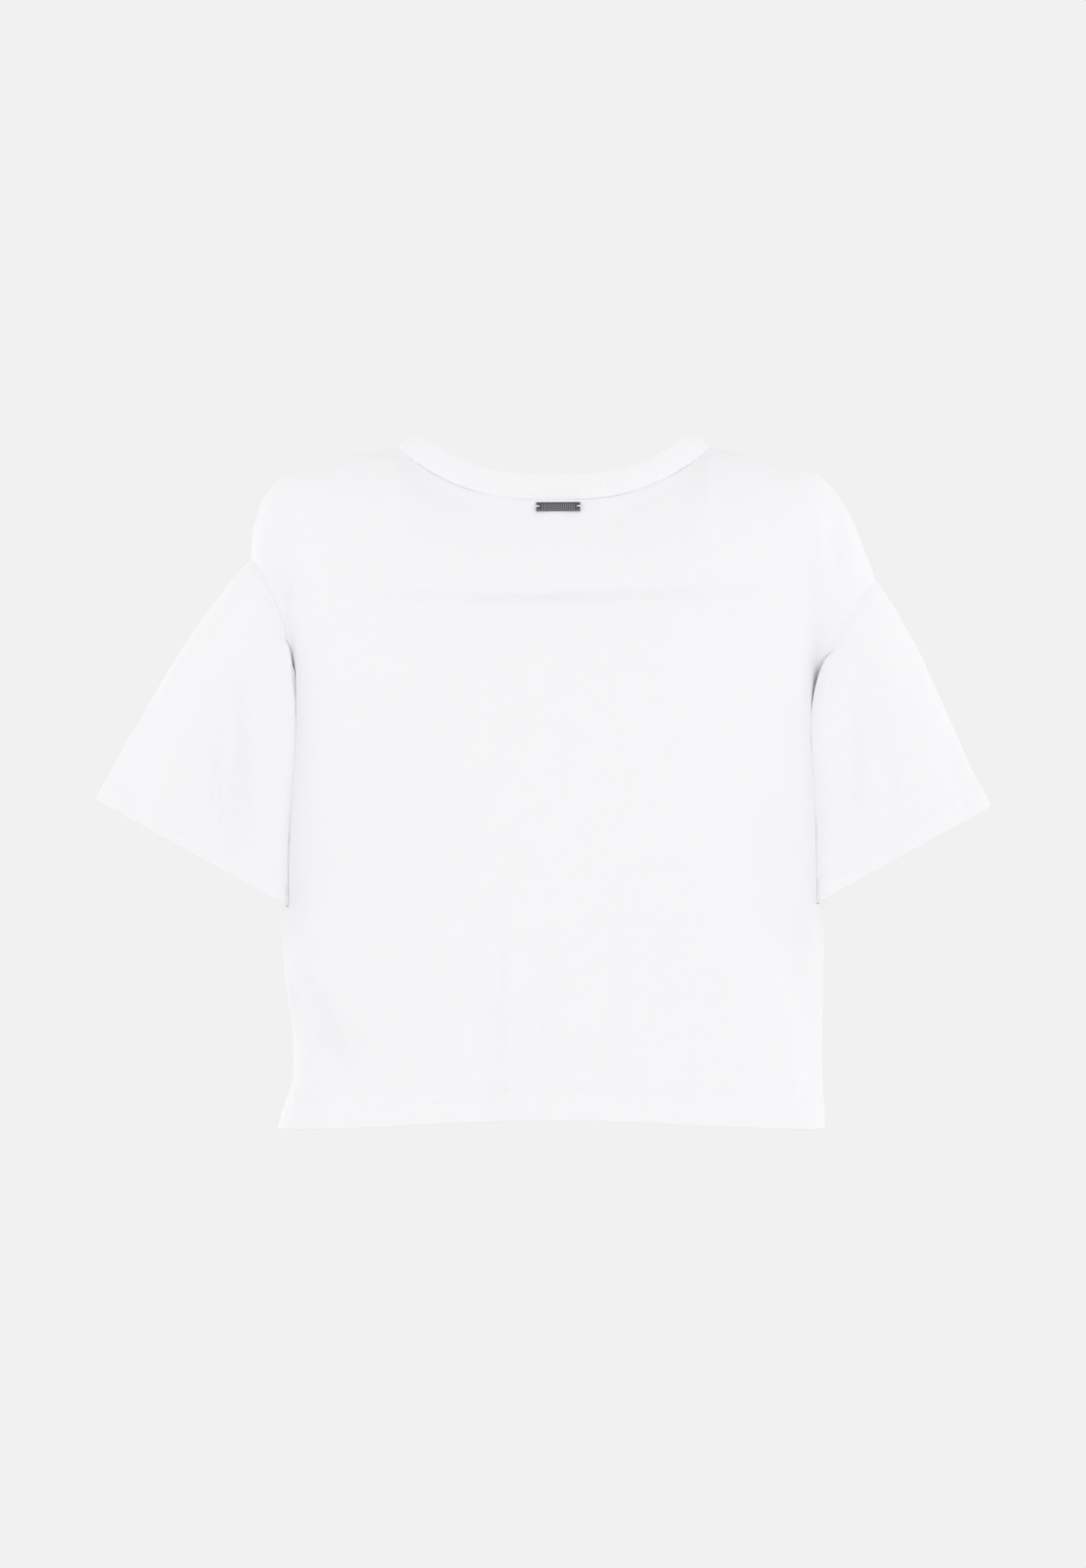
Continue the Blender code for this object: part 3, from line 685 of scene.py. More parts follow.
def hem_height(across: np.ndarray) -> np.ndarray:
    """Height of the hem's edge at each share of a panel's half width."""
    return HEM_Z + HEM_RISE * np.cos(across * math.pi / 2) ** 2


def fold_lift(points: np.ndarray, folds: Sequence[Fold]) -> np.ndarray:
    """How far the folds lift each point off the plain form.

    Args:
        points: A grid of points in millimetres.
        folds: The ridges and troughs.

    Returns:
        The lift of each point in millimetres.
    """
    x, z = points[..., 0], points[..., 2]
    lift = np.zeros_like(x)
    for fold in folds:
        along = np.array([fold.x1 - fold.x0, fold.z1 - fold.z0])
        length = np.hypot(*along)
        along = along / length
        run = 2 * ((x - fold.x0) * along[0] + (z - fold.z0) * along[1]) / length - 1
        off = (x - fold.x0) * along[1] - (z - fold.z0) * along[0]
        off = (off - fold.bow * (1 - run**2)) / fold.width
        beside = fold.partner * np.exp(-(((off - PARTNER_AWAY) / PARTNER_WIDTH) ** 2))
        fade = np.clip(1 - abs(run) ** 3, 0, 1)
        lift += fold.height * fade * (np.exp(-(off**2)) + beside)
    return lift


def uneven_lift(points: np.ndarray) -> np.ndarray:
    """The slow unevenness of cloth that hangs, in millimetres.

    Args:
        points: A grid of points in millimetres.

    Returns:
        The lift of each point in millimetres.
    """
    x, y, z = points[..., 0], points[..., 1], points[..., 2]
    lift = np.zeros_like(x)
    for wave in RIPPLES:
        phase = (x + RIPPLE_DEPTH * y) / wave.wave_x + z / wave.wave_z
        lift += wave.height * np.sin(2 * math.pi * phase + wave.phase)
    return lift


def grid_normals(points: np.ndarray, tube: bool) -> np.ndarray:
    """Normals of a grid of points, square to its rows and columns.

    Args:
        points: The grid.
        tube: Whether its columns close on themselves.

    Returns:
        A unit normal for each point.
    """
    up = np.gradient(points, axis=0)
    if tube:
        wrapped = np.concatenate([points[:, -1:], points, points[:, :1]], axis=1)
        over = np.gradient(wrapped, axis=1)[:, 1:-1]
    else:
        over = np.gradient(points, axis=1)
    return unit(np.cross(over, up))


def closed_grid(grid: np.ndarray) -> np.ndarray:
    """A grid with its first column again at its end."""
    return np.concatenate([grid, grid[:, :1]], axis=1)


def soften(points: np.ndarray, weight: np.ndarray, passes: int, tube: bool) -> np.ndarray:
    """Draws each point of a grid towards the middle of its neighbours, its edges kept.

    Args:
        points: The grid.
        weight: How much of each pass a point takes, from 0 to 1.
        passes: How often it is done.
        tube: True where the columns close on themselves.

    Returns:
        The softened grid.
    """
    points = points.copy()
    weight = weight[..., None] / 2
    for _ in range(passes):
        rows = (points[:-2] + points[2:]) / 2
        if tube:
            columns = (np.roll(points, 1, axis=1) + np.roll(points, -1, axis=1))[1:-1] / 2
            points[1:-1] += weight[1:-1] * ((rows + columns) / 2 - points[1:-1])
        else:
            columns = (points[1:-1, :-2] + points[1:-1, 2:]) / 2
            middle = (rows[:, 1:-1] + columns) / 2
            points[1:-1, 1:-1] += weight[1:-1, 1:-1] * (middle - points[1:-1, 1:-1])
    return points


# ---------------------------------------------------------------------------------------------
# Sewing, as it shapes the cloth
# ---------------------------------------------------------------------------------------------


@dataclass(frozen=True)
class SeamRelief:
    """How the cloth sinks at a seam and rises over the allowance that is turned under it."""

    dip: float = 0.16
    dip_width: float = 1.3
    allowance_height: float = 0.24
    allowance_width: float = 7.0
    pucker: float = 0.2
    pucker_wave: float = 11.0
    pucker_start: float = 2.0
    pucker_width: float = 8.0
    pucker_drift: float = 23.0

    def lift(self, distance: np.ndarray, along: np.ndarray) -> np.ndarray:
        """The lift at each distance from a seam, in millimetres.

        Args:
            distance: How far each point is from the seam.
            along: How far along the seam it is.

        Returns:
            The lift of each point.
        """
        sunk = -self.dip * np.exp(-((distance / self.dip_width) ** 2))
        raised = smooth_step(distance, 0.5, 2.2) - smooth_step(
            distance, self.allowance_width - 1, self.allowance_width + 1.5
        )
        waves = np.sin(2 * math.pi * along / self.pucker_wave + np.sin(along / self.pucker_drift) * 2)
        near = np.exp(-((distance / self.pucker_width) ** 2))
        puckered = self.pucker * waves * near * smooth_step(distance, 0, self.pucker_start)
        return sunk + self.allowance_height * raised + puckered


@dataclass(frozen=True)
class HemRelief:
    """A turned hem: rounded at its edge, doubled below a step, and pulled in by its stitches."""

    height: float
    stitch_rows: tuple[float, float]
    edge_radius: float = 0.95
    step_height: float = 0.5
    stitch_dip: float = 0.35
    stitch_width: float = 1.0
    roping: float = 0.3
    roping_wave: float = 14.0
    roping_drift: float = 31.0
    turn_start: float = 0.5  # below the hem's height, where the doubled cloth begins to end

    def lift(self, rise: np.ndarray, along: np.ndarray) -> np.ndarray:
        """The lift at each height above the hem's edge, in millimetres.

        Args:
            rise: How far each point is above the hem's edge.
            along: How far along the hem it is.

        Returns:
            The lift of each point.
        """
        doubled = self.step_height * (1 - smooth_step(rise, self.height - 0.6, self.height + 1.6))
        sunk = sum(
            self.stitch_dip * np.exp(-(((rise - row) / self.stitch_width) ** 2))
            for row in self.stitch_rows
        )
        slant = along / self.roping_wave + rise / (3 * self.height)
        waves = np.sin(2 * math.pi * slant + 1.5 * np.sin(along / self.roping_drift))
        roped = self.roping * waves * np.exp(-(((rise - self.height / 2) / (0.6 * self.height)) ** 2))
        return doubled - sunk + roped

    def doubled(self, rise: np.ndarray, fade: float = 1.0) -> np.ndarray:
        """1 on the doubled cloth and 0 above it; fade is where it ends over the hem's height."""
        return 1 - smooth_step(rise, self.height - self.turn_start, self.height + fade)

    def rounding(self, rise: np.ndarray) -> np.ndarray:
        """How far both faces draw together at the turned edge."""
        share = np.clip(1 - rise / self.edge_radius, 0, 1)
        return self.edge_radius * (1 - np.sqrt(1 - share**2))


SEAM = SeamRelief()
BODY_HEM = HemRelief(height=HEM_HEIGHT, stitch_rows=(15.0, 20.5))
SLEEVE_HEM = HemRelief(height=SLEEVE_HEM_HEIGHT, stitch_rows=(11.0, 16.0))


# ---------------------------------------------------------------------------------------------
# Node trees
# ---------------------------------------------------------------------------------------------


class Value:
    """A number on a node's socket, with the usual signs of arithmetic."""

    def __init__(self, tree: "Tree", socket: bpy.types.NodeSocket) -> None:
        """Keeps the socket and the tree that it belongs to."""
        self.tree = tree
        self.socket = socket

    def math(self, operation: str, *others: "Value | float") -> "Value":
        """A Math node on this value and others."""
        inputs = dict(enumerate([self, *others]))
        return self.tree.value("ShaderNodeMath", 0, {"operation": operation}, inputs)

    def __add__(self, other: "Value | float") -> "Value":
        """This value plus another."""
        return self.math("ADD", other)

    def __sub__(self, other: "Value | float") -> "Value":
        """This value less another."""
        return self.math("SUBTRACT", other)

    def __mul__(self, other: "Value | float") -> "Value":
        """This value times another."""
        return self.math("MULTIPLY", other)

    def __truediv__(self, other: "Value | float") -> "Value":
        """This value divided by another."""
        return self.math("DIVIDE", other)

    def __abs__(self) -> "Value":
        """This value without its sign."""
        return self.math("ABSOLUTE")


class Tree:
    """A node tree and the one way in which nodes are made in it."""

    def __init__(self, tree: bpy.types.NodeTree) -> None:
        """Empties a node tree and keeps it."""
        self.tree = tree
        tree.nodes.clear()

    def node(
        self, kind: str, settings: dict[str, Any] | None = None, inputs: dict[Any, Any] | None = None
    ) -> bpy.types.Node:
        """Makes a node.

        Args:
            kind: The node's type.
            settings: Its own settings, set before its sockets.
            inputs: A value or a socket to link, by the name or number of the input.

        Returns:
            The node.
        """
        made = self.tree.nodes.new(kind)
        for name, setting in (settings or {}).items():
            setattr(made, name, setting)
        for name, value in (inputs or {}).items():
            if isinstance(value, Value):
                value = value.socket
            if isinstance(value, bpy.types.NodeSocket):
                self.tree.links.new(value, made.inputs[name])
            else:
                made.inputs[name].default_value = value
        return made

    def value(
        self, kind: str, output: Any, settings: dict | None = None, inputs: dict | None = None
    ) -> Value:
        """A new node's output as a Value."""
        return Value(self, self.node(kind, settings, inputs).outputs[output])

    def place(self) -> bpy.types.NodeSocket:
        """The point on the object, in metres."""
        return self.node("ShaderNodeTexCoord").outputs["Object"]

    def noise(self, place: bpy.types.NodeSocket, scale: float, detail: float) -> Value:
        """A soft noise from 0 to 1."""
        inputs = {"Vector": place, "Scale": scale, "Detail": detail}
        return self.value("ShaderNodeTexNoise", "Fac", None, inputs)

    def stored(self, name: str) -> Value:
        """A number that the mesh holds on its points."""
        return self.value("ShaderNodeAttribute", "Fac", {"attribute_name": name})

    def bump(self, strength: float, height: Value) -> bpy.types.NodeSocket:
        """The normal of a surface that is raised by a height in metres."""
        inputs = {"Strength": strength, "Distance": 1.0, "Height": height}
        return self.node("ShaderNodeBump", None, inputs).outputs["Normal"]

    def mix(self, share: Value, low: Any, high: Any) -> bpy.types.NodeSocket:
        """Colour between two colours or sockets.

        Args:
            share: 0 for the first colour and 1 for the second.
            low: First colour, or its socket.
            high: Second colour, or its socket.

        Returns:
            The socket of the colour.
        """
        inputs: dict[int, Any] = {0: share}
        for index, color in ((6, low), (7, high)):
            inputs[index] = color if isinstance(color, bpy.types.NodeSocket) else (*color, 1)
        return self.node("ShaderNodeMix", {"data_type": "RGBA", "clamp_factor": True}, inputs).outputs[2]

    def coat(self, inputs: dict[str, Any]) -> None:
        """Ends a material in a Principled shader with these inputs."""
        shader = self.node("ShaderNodeBsdfPrincipled", None, inputs)
        self.node("ShaderNodeOutputMaterial", None, {"Surface": shader.outputs["BSDF"]})


def new_material(name: str) -> tuple[bpy.types.Material, Tree]:
    """An empty material and its tree.

    Args:
        name: Its name.

    Returns:
        The material and its tree.
    """
    material = bpy.data.materials.new(name)
    material.use_nodes = True
    return material, Tree(material.node_tree)


# ---------------------------------------------------------------------------------------------
# Finishes
# ---------------------------------------------------------------------------------------------


class Knit(Enum):
    """The two knits: plain jersey, and the ribbed band."""

    JERSEY = "jersey"
    RIB = "rib"


@dataclass(frozen=True)
class KnitFinish:
    """White cotton knit, read from a UV map in metres that follows the cloth, with painted shade in the
    hollows of its loops.
    """

    name: str
    knit: Knit
    single: tuple[float, float, float] = (0.874, 0.872, 0.888)
    doubled: tuple[float, float, float] = (0.878, 0.876, 0.892)
    # the darker colour that the random tone of the yarn and the painted shade in the loops' hollows draw the
    # colour towards
    tone_and_shade_tint: float = 0.975
    wale: float = 0.00085
    course: float = 0.0007
    rib_wale: float = 0.0018
    slant: float = 0.55
    roughness: float = 0.88
    bump_height: float = 0.00009
    fuzz_height: float = 0.00005
    mottle_scale: float = 55.0
    slub_scale: float = 900.0
    # shares in the colour of the mottle, of the slub and of the loops; the loops' share is painted shade in
    # their hollows
    mottle_part: float = 0.5
    slub_part: float = 0.4
    loop_shade_part: float = 0.35
    jersey_relief: tuple[float, float] = (0.2, 0.22)  # of the ridges and of the loops' legs
    rib_relief: tuple[float, float] = (0.38, 0.1)

    def loops(self, tree: Tree) -> Value:
        """Height of the knitted loops, from 0 to 1, which gives their bump and the painted shade in their
        hollows.

        Args:
            tree: The material's tree.

        Returns:
            The height.
        """
        uv = tree.node("ShaderNodeUVMap", {"uv_map": "cloth"})
        parts = tree.node("ShaderNodeSeparateXYZ", None, {0: uv.outputs[0]})
        across, up = (Value(tree, parts.outputs[axis]) for axis in ("X", "Y"))
        rib = self.knit is Knit.RIB
        wale = self.rib_wale if rib else self.wale
        column = across / wale
        leaning = abs(column.math("FRACT") * 2 - 1)
        legs = ((up / self.course + leaning * self.slant) * (2 * math.pi)).math("COSINE")
        ridge = (column * (2 * math.pi)).math("COSINE")
        ridge_part, leg_part = self.rib_relief if rib else self.jersey_relief
        return ridge * ridge_part + legs * leg_part + 0.5

    def build(self) -> bpy.types.Material:
        """The finish as a material.

        Returns:
            The material.
        """
        material, tree = new_material(self.name)
        place = tree.place()
        mottle, slub = tree.noise(place, self.mottle_scale, 3.0), tree.noise(place, self.slub_scale, 2.0)
        loops = self.loops(tree)
        white = tree.mix(tree.stored("doubled"), self.single, self.doubled)
        # The random tone of the yarn (mottle, slub) and painted shade in the low parts of the knitted loops
        # draw the colour towards the darker tint
        shade = (mottle - 0.5) * self.mottle_part + (slub - 0.5) * self.slub_part
        shade = shade + (loops - 0.5) * self.loop_shade_part + 0.5
        dim = tuple(channel * self.tone_and_shade_tint for channel in self.single)
        tree.coat({
            "Base Color": tree.mix(shade, dim, white),
            "Roughness": (slub - 0.5) * 0.12 + self.roughness,
            "Normal": tree.bump(0.6, loops * self.bump_height + slub * self.fuzz_height),
            "Specular IOR Level": 0.18,
            "Sheen Weight": 0.04,
            "Sheen Roughness": 0.5,
        })
        return material


@dataclass(frozen=True)
class ThreadFinish:
    """White polyester sewing thread."""

    name: str = "sewing_thread"
    color: tuple[float, float, float] = (0.9, 0.9, 0.915)
    twist: float = 2600.0

    def build(self) -> bpy.types.Material:
        """The finish as a material.

        Returns:
            The material.
        """
        material, tree = new_material(self.name)
        strands = tree.noise(tree.place(), self.twist, 1.0)
        tree.coat({
            "Base Color": (*self.color, 1),
            "Roughness": strands * 0.2 + 0.5,
            "Normal": tree.bump(0.4, strands * 0.00005),
            "Specular IOR Level": 0.3,
        })
        return material


@dataclass(frozen=True)
class GunmetalFinish:
    """Dark plated metal, lightly brushed along the bar, a little brighter where it is rubbed."""

    name: str = "gunmetal"
    dark: tuple[float, float, float] = (0.115, 0.108, 0.122)
    rubbed: tuple[float, float, float] = (0.36, 0.34, 0.37)
    brushing: tuple[float, float, float] = (300.0, 4200.0, 4200.0)
    roughness: float = 0.3
    wear: float = 0.75
    streaks: float = 0.5

    def build(self) -> bpy.types.Material:
        """The finish as a material.

        Returns:
            The material.
        """
        material, tree = new_material(self.name)
        stretched = tree.node("ShaderNodeMapping", None, {"Vector": tree.place(), "Scale": self.brushing})
        strokes = tree.noise(stretched.outputs[0], 1.0, 2.0)
        share = tree.stored("rubbed") * self.wear + (strokes - 0.5) * self.streaks
        tree.coat({
            "Base Color": tree.mix(share, self.dark, self.rubbed),
            "Roughness": strokes * 0.16 + self.roughness,
            "Normal": tree.bump(0.3, strokes * 0.00002),
            "Metallic": 1.0,
        })
        return material


@dataclass(frozen=True)
class StageFinish:
    """The plain pale ground, even from every side and clear from below."""

    name: str = "pale_ground"

    def build(self) -> bpy.types.Material:
        """The finish as a material.

        Returns:
            The material.
        """
        material, tree = new_material(self.name)
        glow = tree.node("ShaderNodeEmission", None, {"Color": (GROUND_TONE, GROUND_TONE, GROUND_TONE, 1)})
        clear = tree.node("ShaderNodeBsdfTransparent")
        below = tree.node("ShaderNodeNewGeometry").outputs["Backfacing"]
        inputs = {0: below, 1: glow.outputs[0], 2: clear.outputs[0]}
        mixed = tree.node("ShaderNodeMixShader", None, inputs)
        tree.node("ShaderNodeOutputMaterial", None, {"Surface": mixed.outputs[0]})
        return material


# ---------------------------------------------------------------------------------------------
# Meshes
# ---------------------------------------------------------------------------------------------


def signed_volume(points: np.ndarray, faces: np.ndarray) -> float:
    """Volume inside quads, below 0 where they face inwards."""
    a, b, c, d = (points[faces[:, corner]] for corner in range(4))
    return float(((a * np.cross(b, c)).sum() + (a * np.cross(c, d)).sum()) / 6)


def quads_of(index: np.ndarray) -> np.ndarray:
    """Faces between the neighbours of a grid of vertex numbers."""
    corners = (index[:-1, :-1], index[:-1, 1:], index[1:, 1:], index[1:, :-1])
    return np.stack([corner.ravel() for corner in corners], axis=1)


def new_object(name: str, data: bpy.types.ID) -> bpy.types.Object:
    """An object for a mesh, a light or a camera, in the scene.

    Args:
        name: Its name.
        data: The mesh, light or camera.

    Returns:
        The object.
    """
    made = bpy.data.objects.new(name, data)
    bpy.context.scene.collection.objects.link(made)
    return made


def mesh_of(bm: bmesh.types.BMesh, name: str) -> bpy.types.Mesh:
    """A mesh of what a bmesh holds, which is freed.

    Args:
        bm: The bmesh.
        name: The mesh's name.

    Returns:
        The mesh.
    """
    mesh = bpy.data.meshes.new(name)
    bm.to_mesh(mesh)
    bm.free()
    return mesh


def store(mesh: bpy.types.Mesh, name: str, values: np.ndarray) -> None:
    """Keeps a number, or a vector, on each point of a mesh.

    Args:
        mesh: The mesh.
        name: The name to keep them under.
        values: A number, or a row of three, for each point.
    """
    kind, field = ("FLOAT", "value") if values.ndim == 1 else ("FLOAT_VECTOR", "vector")
    stored = mesh.attributes.new(name, kind, "POINT")
    stored.data.foreach_set(field, values.astype(np.float32).ravel())


def add_uv(mesh: bpy.types.Mesh, places: np.ndarray, shape: tuple[int, int]) -> None:
    """Adds the UV map of a mesh of quads on a grid, or on two that lie on each other.

    Args:
        mesh: The mesh, whose points are numbered row by row.
        places: (across, up) of each point in metres, with the first row or column again at the
            end where the grid closes on itself.
        shape: The grid's own rows and columns.
    """
    corners = np.empty(len(mesh.loops), np.int32)
    mesh.loops.foreach_get("vertex_index", corners)
    spots = np.unravel_index(corners.reshape(-1, 4) % (shape[0] * shape[1]), shape)
    row, column = (
        np.where((spot == 0) & (spot.max(axis=1, keepdims=True) == size - 1) & (full > size), size, spot)
        for spot, size, full in zip(spots, shape, places.shape)
    )
    layer = mesh.uv_layers.new(name="cloth")
    layer.data.foreach_set("uv", places[row, column].astype(np.float32).ravel())


class ClothMesh:
    """A closed wall between an outer and an inner grid, with a UV map that follows the cloth."""

    def __init__(self, outer: np.ndarray, inner: np.ndarray, tube: bool) -> None:
        """Keeps the two faces of a piece of cloth.

        Args:
            outer: Points of the outer face in millimetres, in rows and columns.
            inner: Points of the inner face.
            tube: Whether the columns close on themselves.
        """
        self.outer = outer
        self.inner = inner
        self.tube = tube

    def vertex_index(self) -> np.ndarray:
        """Vertex numbers as (face of the cloth, row, column).

        Returns:
            The numbers.
        """
        rows, columns = self.outer.shape[:2]
        index = np.arange(2 * rows * columns).reshape(2, rows, columns)
        if self.tube:
            index = np.concatenate([index, index[:, :, :1]], axis=2)
        return index

    def place_on_cloth(self) -> np.ndarray:
        """(across, up) of each point of the outer grid along the cloth, in metres.

        Returns:
            The places; a tube has its first column again at the end.
        """
        grid = closed_grid(self.outer) if self.tube else self.outer
        across = arc_lengths(grid, 1)
        if not self.tube:
            across = across - across[:, grid.shape[1] // 2][:, None]
        return np.stack([across, arc_lengths(grid, 0)], axis=-1) * MM

    def build(self, name: str, doubled: np.ndarray, material: bpy.types.Material) -> bpy.types.Object:
        """Makes the object.

        Args:
            name: The piece's name.
            doubled: 1 on each point of the grid where the cloth is doubled, else 0.
            material: Its finish.

        Returns:
            The piece, riding on the body.
        """
        index = self.vertex_index()
        rims = [index[:, 0, :], index[:, -1, :]]
        if not self.tube:
            rims += [index[:, :, 0], index[:, :, -1]]
        walls = [quads_of(index[0]), quads_of(index[1])[:, ::-1], *(quads_of(rim) for rim in rims)]
        points = np.concatenate([self.outer.reshape(-1, 3), self.inner.reshape(-1, 3)])
        made = mesh_object(name, points * MM, np.concatenate(walls), material)

        store(made.data, "doubled", np.tile(doubled.ravel(), 2))
        add_uv(made.data, self.place_on_cloth(), self.outer.shape[:2])
        return made


def mesh_object(
    name: str, points: np.ndarray, faces: np.ndarray, material: bpy.types.Material
) -> bpy.types.Object:
    """Makes a smooth closed object of quads that face out, riding on the body.

    Args:
        name: Its name.
        points: Its corners in metres.
        faces: Four corner numbers for each face.
        material: Its finish.

    Returns:
        The object.
    """
    if signed_volume(points, faces) < 0:
        faces = faces[:, ::-1]
    mesh = bpy.data.meshes.new(name)
    mesh.from_pydata(points, [], faces.tolist())
    mesh.shade_smooth()
    mesh.set_sharp_from_angle(angle=EDGE_ANGLE)
    mesh.materials.append(material)
    made = new_object(name, mesh)
    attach(made, BODY)
    return made


def baked(source: bpy.types.Object, name: str) -> bpy.types.Object:
    """The evaluated shape of an object as a plain mesh of its own; the source is removed.

    Args:
        source: The object to evaluate.
        name: Name of the new one.

    Returns:
        The new object.
    """
    graph = bpy.context.evaluated_depsgraph_get()
    mesh = bpy.data.meshes.new_from_object(source.evaluated_get(graph))
    mesh.name = name
    bpy.data.objects.remove(source, do_unlink=True)
    made = new_object(name, mesh)
    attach(made, BODY)
    return made


# ---------------------------------------------------------------------------------------------
# Stitches
# ---------------------------------------------------------------------------------------------


class StitchPath(NamedTuple):
    """A line on the cloth that stitches follow."""

    points: np.ndarray
    normals: np.ndarray
    closed: bool


@dataclass(frozen=True)
class Stitching:
    """Rows of small thread stitches, laid along paths by Geometry Nodes."""

    thread: bpy.types.Material
    pitch: float = 3.1
    length: float = 2.35
    width: float = 0.46
    sink: float = 0.05
    ring_faces: int = 6

    def tree(self) -> bpy.types.NodeTree:
        """The node tree: one rounded stitch on each resampled point of the paths.

        Returns:
            The node tree.
        """
        group = bpy.data.node_groups.new("stitch_rows", "GeometryNodeTree")
        face = group.interface
        face.new_socket("Paths", in_out="INPUT", socket_type="NodeSocketGeometry")
        for name in ("Pitch", "Length", "Width"):
            face.new_socket(name, in_out="INPUT", socket_type="NodeSocketFloat")
        face.new_socket("Thread", in_out="INPUT", socket_type="NodeSocketMaterial")
        face.new_socket("Stitches", in_out="OUTPUT", socket_type="NodeSocketGeometry")
        tree = Tree(group)
        given = tree.node("NodeGroupInput").outputs
        lines = tree.node("GeometryNodeMeshToCurve", None, {"Mesh": given["Paths"]})
        spaced = tree.node(
            "GeometryNodeResampleCurve", {"mode": "LENGTH"},
            {"Curve": lines.outputs[0], "Length": given["Pitch"]},
        )
        normal = tree.node(
            "GeometryNodeInputNamedAttribute", {"data_type": "FLOAT_VECTOR"}, {"Name": "cloth_normal"}
        )
        tangent = tree.node("GeometryNodeInputTangent")
        along = tree.node(
            "FunctionNodeAlignRotationToVector", {"axis": "X"}, {"Vector": tangent.outputs[0]}
        )
        upright = tree.node(
            "FunctionNodeAlignRotationToVector", {"axis": "Z", "pivot_axis": "X"},
            {"Rotation": along.outputs[0], "Vector": normal.outputs["Attribute"]},
        )
        ball = tree.node(
            "GeometryNodeMeshUVSphere", None,
            {"Segments": self.ring_faces, "Rings": self.ring_faces, "Radius": 0.5},
        )
        size = tree.node(
            "ShaderNodeCombineXYZ", None,
            {"X": given["Length"], "Y": given["Width"], "Z": given["Width"]},
        )
        stitches = tree.node(
            "GeometryNodeInstanceOnPoints", None,
            {
                "Points": spaced.outputs[0], "Instance": ball.outputs[0],
                "Rotation": upright.outputs[0], "Scale": size.outputs[0],
            },
        )
        real = tree.node("GeometryNodeRealizeInstances", None, {0: stitches.outputs[0]})
        smooth = tree.node("GeometryNodeSetShadeSmooth", None, {0: real.outputs[0]})
        dressed = tree.node(
            "GeometryNodeSetMaterial", None,
            {"Geometry": smooth.outputs[0], "Material": given["Thread"]},
        )
        tree.node("NodeGroupOutput", None, {0: dressed.outputs[0]})
        return group

    def guide(self, name: str, paths: Sequence[StitchPath]) -> bpy.types.Object:
        """A mesh of edges along the paths, with the cloth's normal on each corner.

        Args:
            name: Its name.
            paths: The lines that the stitches follow.

        Returns:
            The object.
        """
        points, edges, normals = [], [], []
        for path in paths:
            first, count = len(points), len(path.points)
            points += list((path.points - path.normals * self.sink) * MM)
            normals += list(path.normals)
            edges += [(first + step, first + step + 1) for step in range(count - 1)]
            if path.closed:
                edges.append((first + count - 1, first))
        mesh = bpy.data.meshes.new(name)
        mesh.from_pydata(np.array(points), edges, [])
        store(mesh, "cloth_normal", np.array(normals))
        return new_object(name, mesh)

    def sew(self, name: str, paths: Sequence[StitchPath]) -> bpy.types.Object:
        """Lays stitches along paths.

        Args:
            name: The piece's name.
            paths: The lines to follow.

        Returns:
            The stitches as one piece.
        """
        guide = self.guide(f"{name}_guide", paths)
        modifier = guide.modifiers.new("stitches", "NODES")
        group = self.tree()
        modifier.node_group = group
        settings = {
            "Pitch": self.pitch * MM, "Length": self.length * MM, "Width": self.width * MM,
            "Thread": self.thread,
        }
        for item in group.interface.items_tree:
            if item.name in settings:
                modifier[item.identifier] = settings[item.name]
        made = baked(guide, name)
        return made


# ---------------------------------------------------------------------------------------------
# The cut pieces
# ---------------------------------------------------------------------------------------------


def points_at(grid: np.ndarray, lengths: np.ndarray, distance: float) -> np.ndarray:
    """The point of each column of a grid at a distance along it.

    Args:
        grid: Rows of points or of normals.
        lengths: The distance of each point along its column, rising.
        distance: The distance to read at.

    Returns:
        One row of points.
    """
    return np.array([
        [np.interp(distance, lengths[:, column], grid[:, column, axis]) for axis in range(3)]
        for column in range(grid.shape[1])
    ])


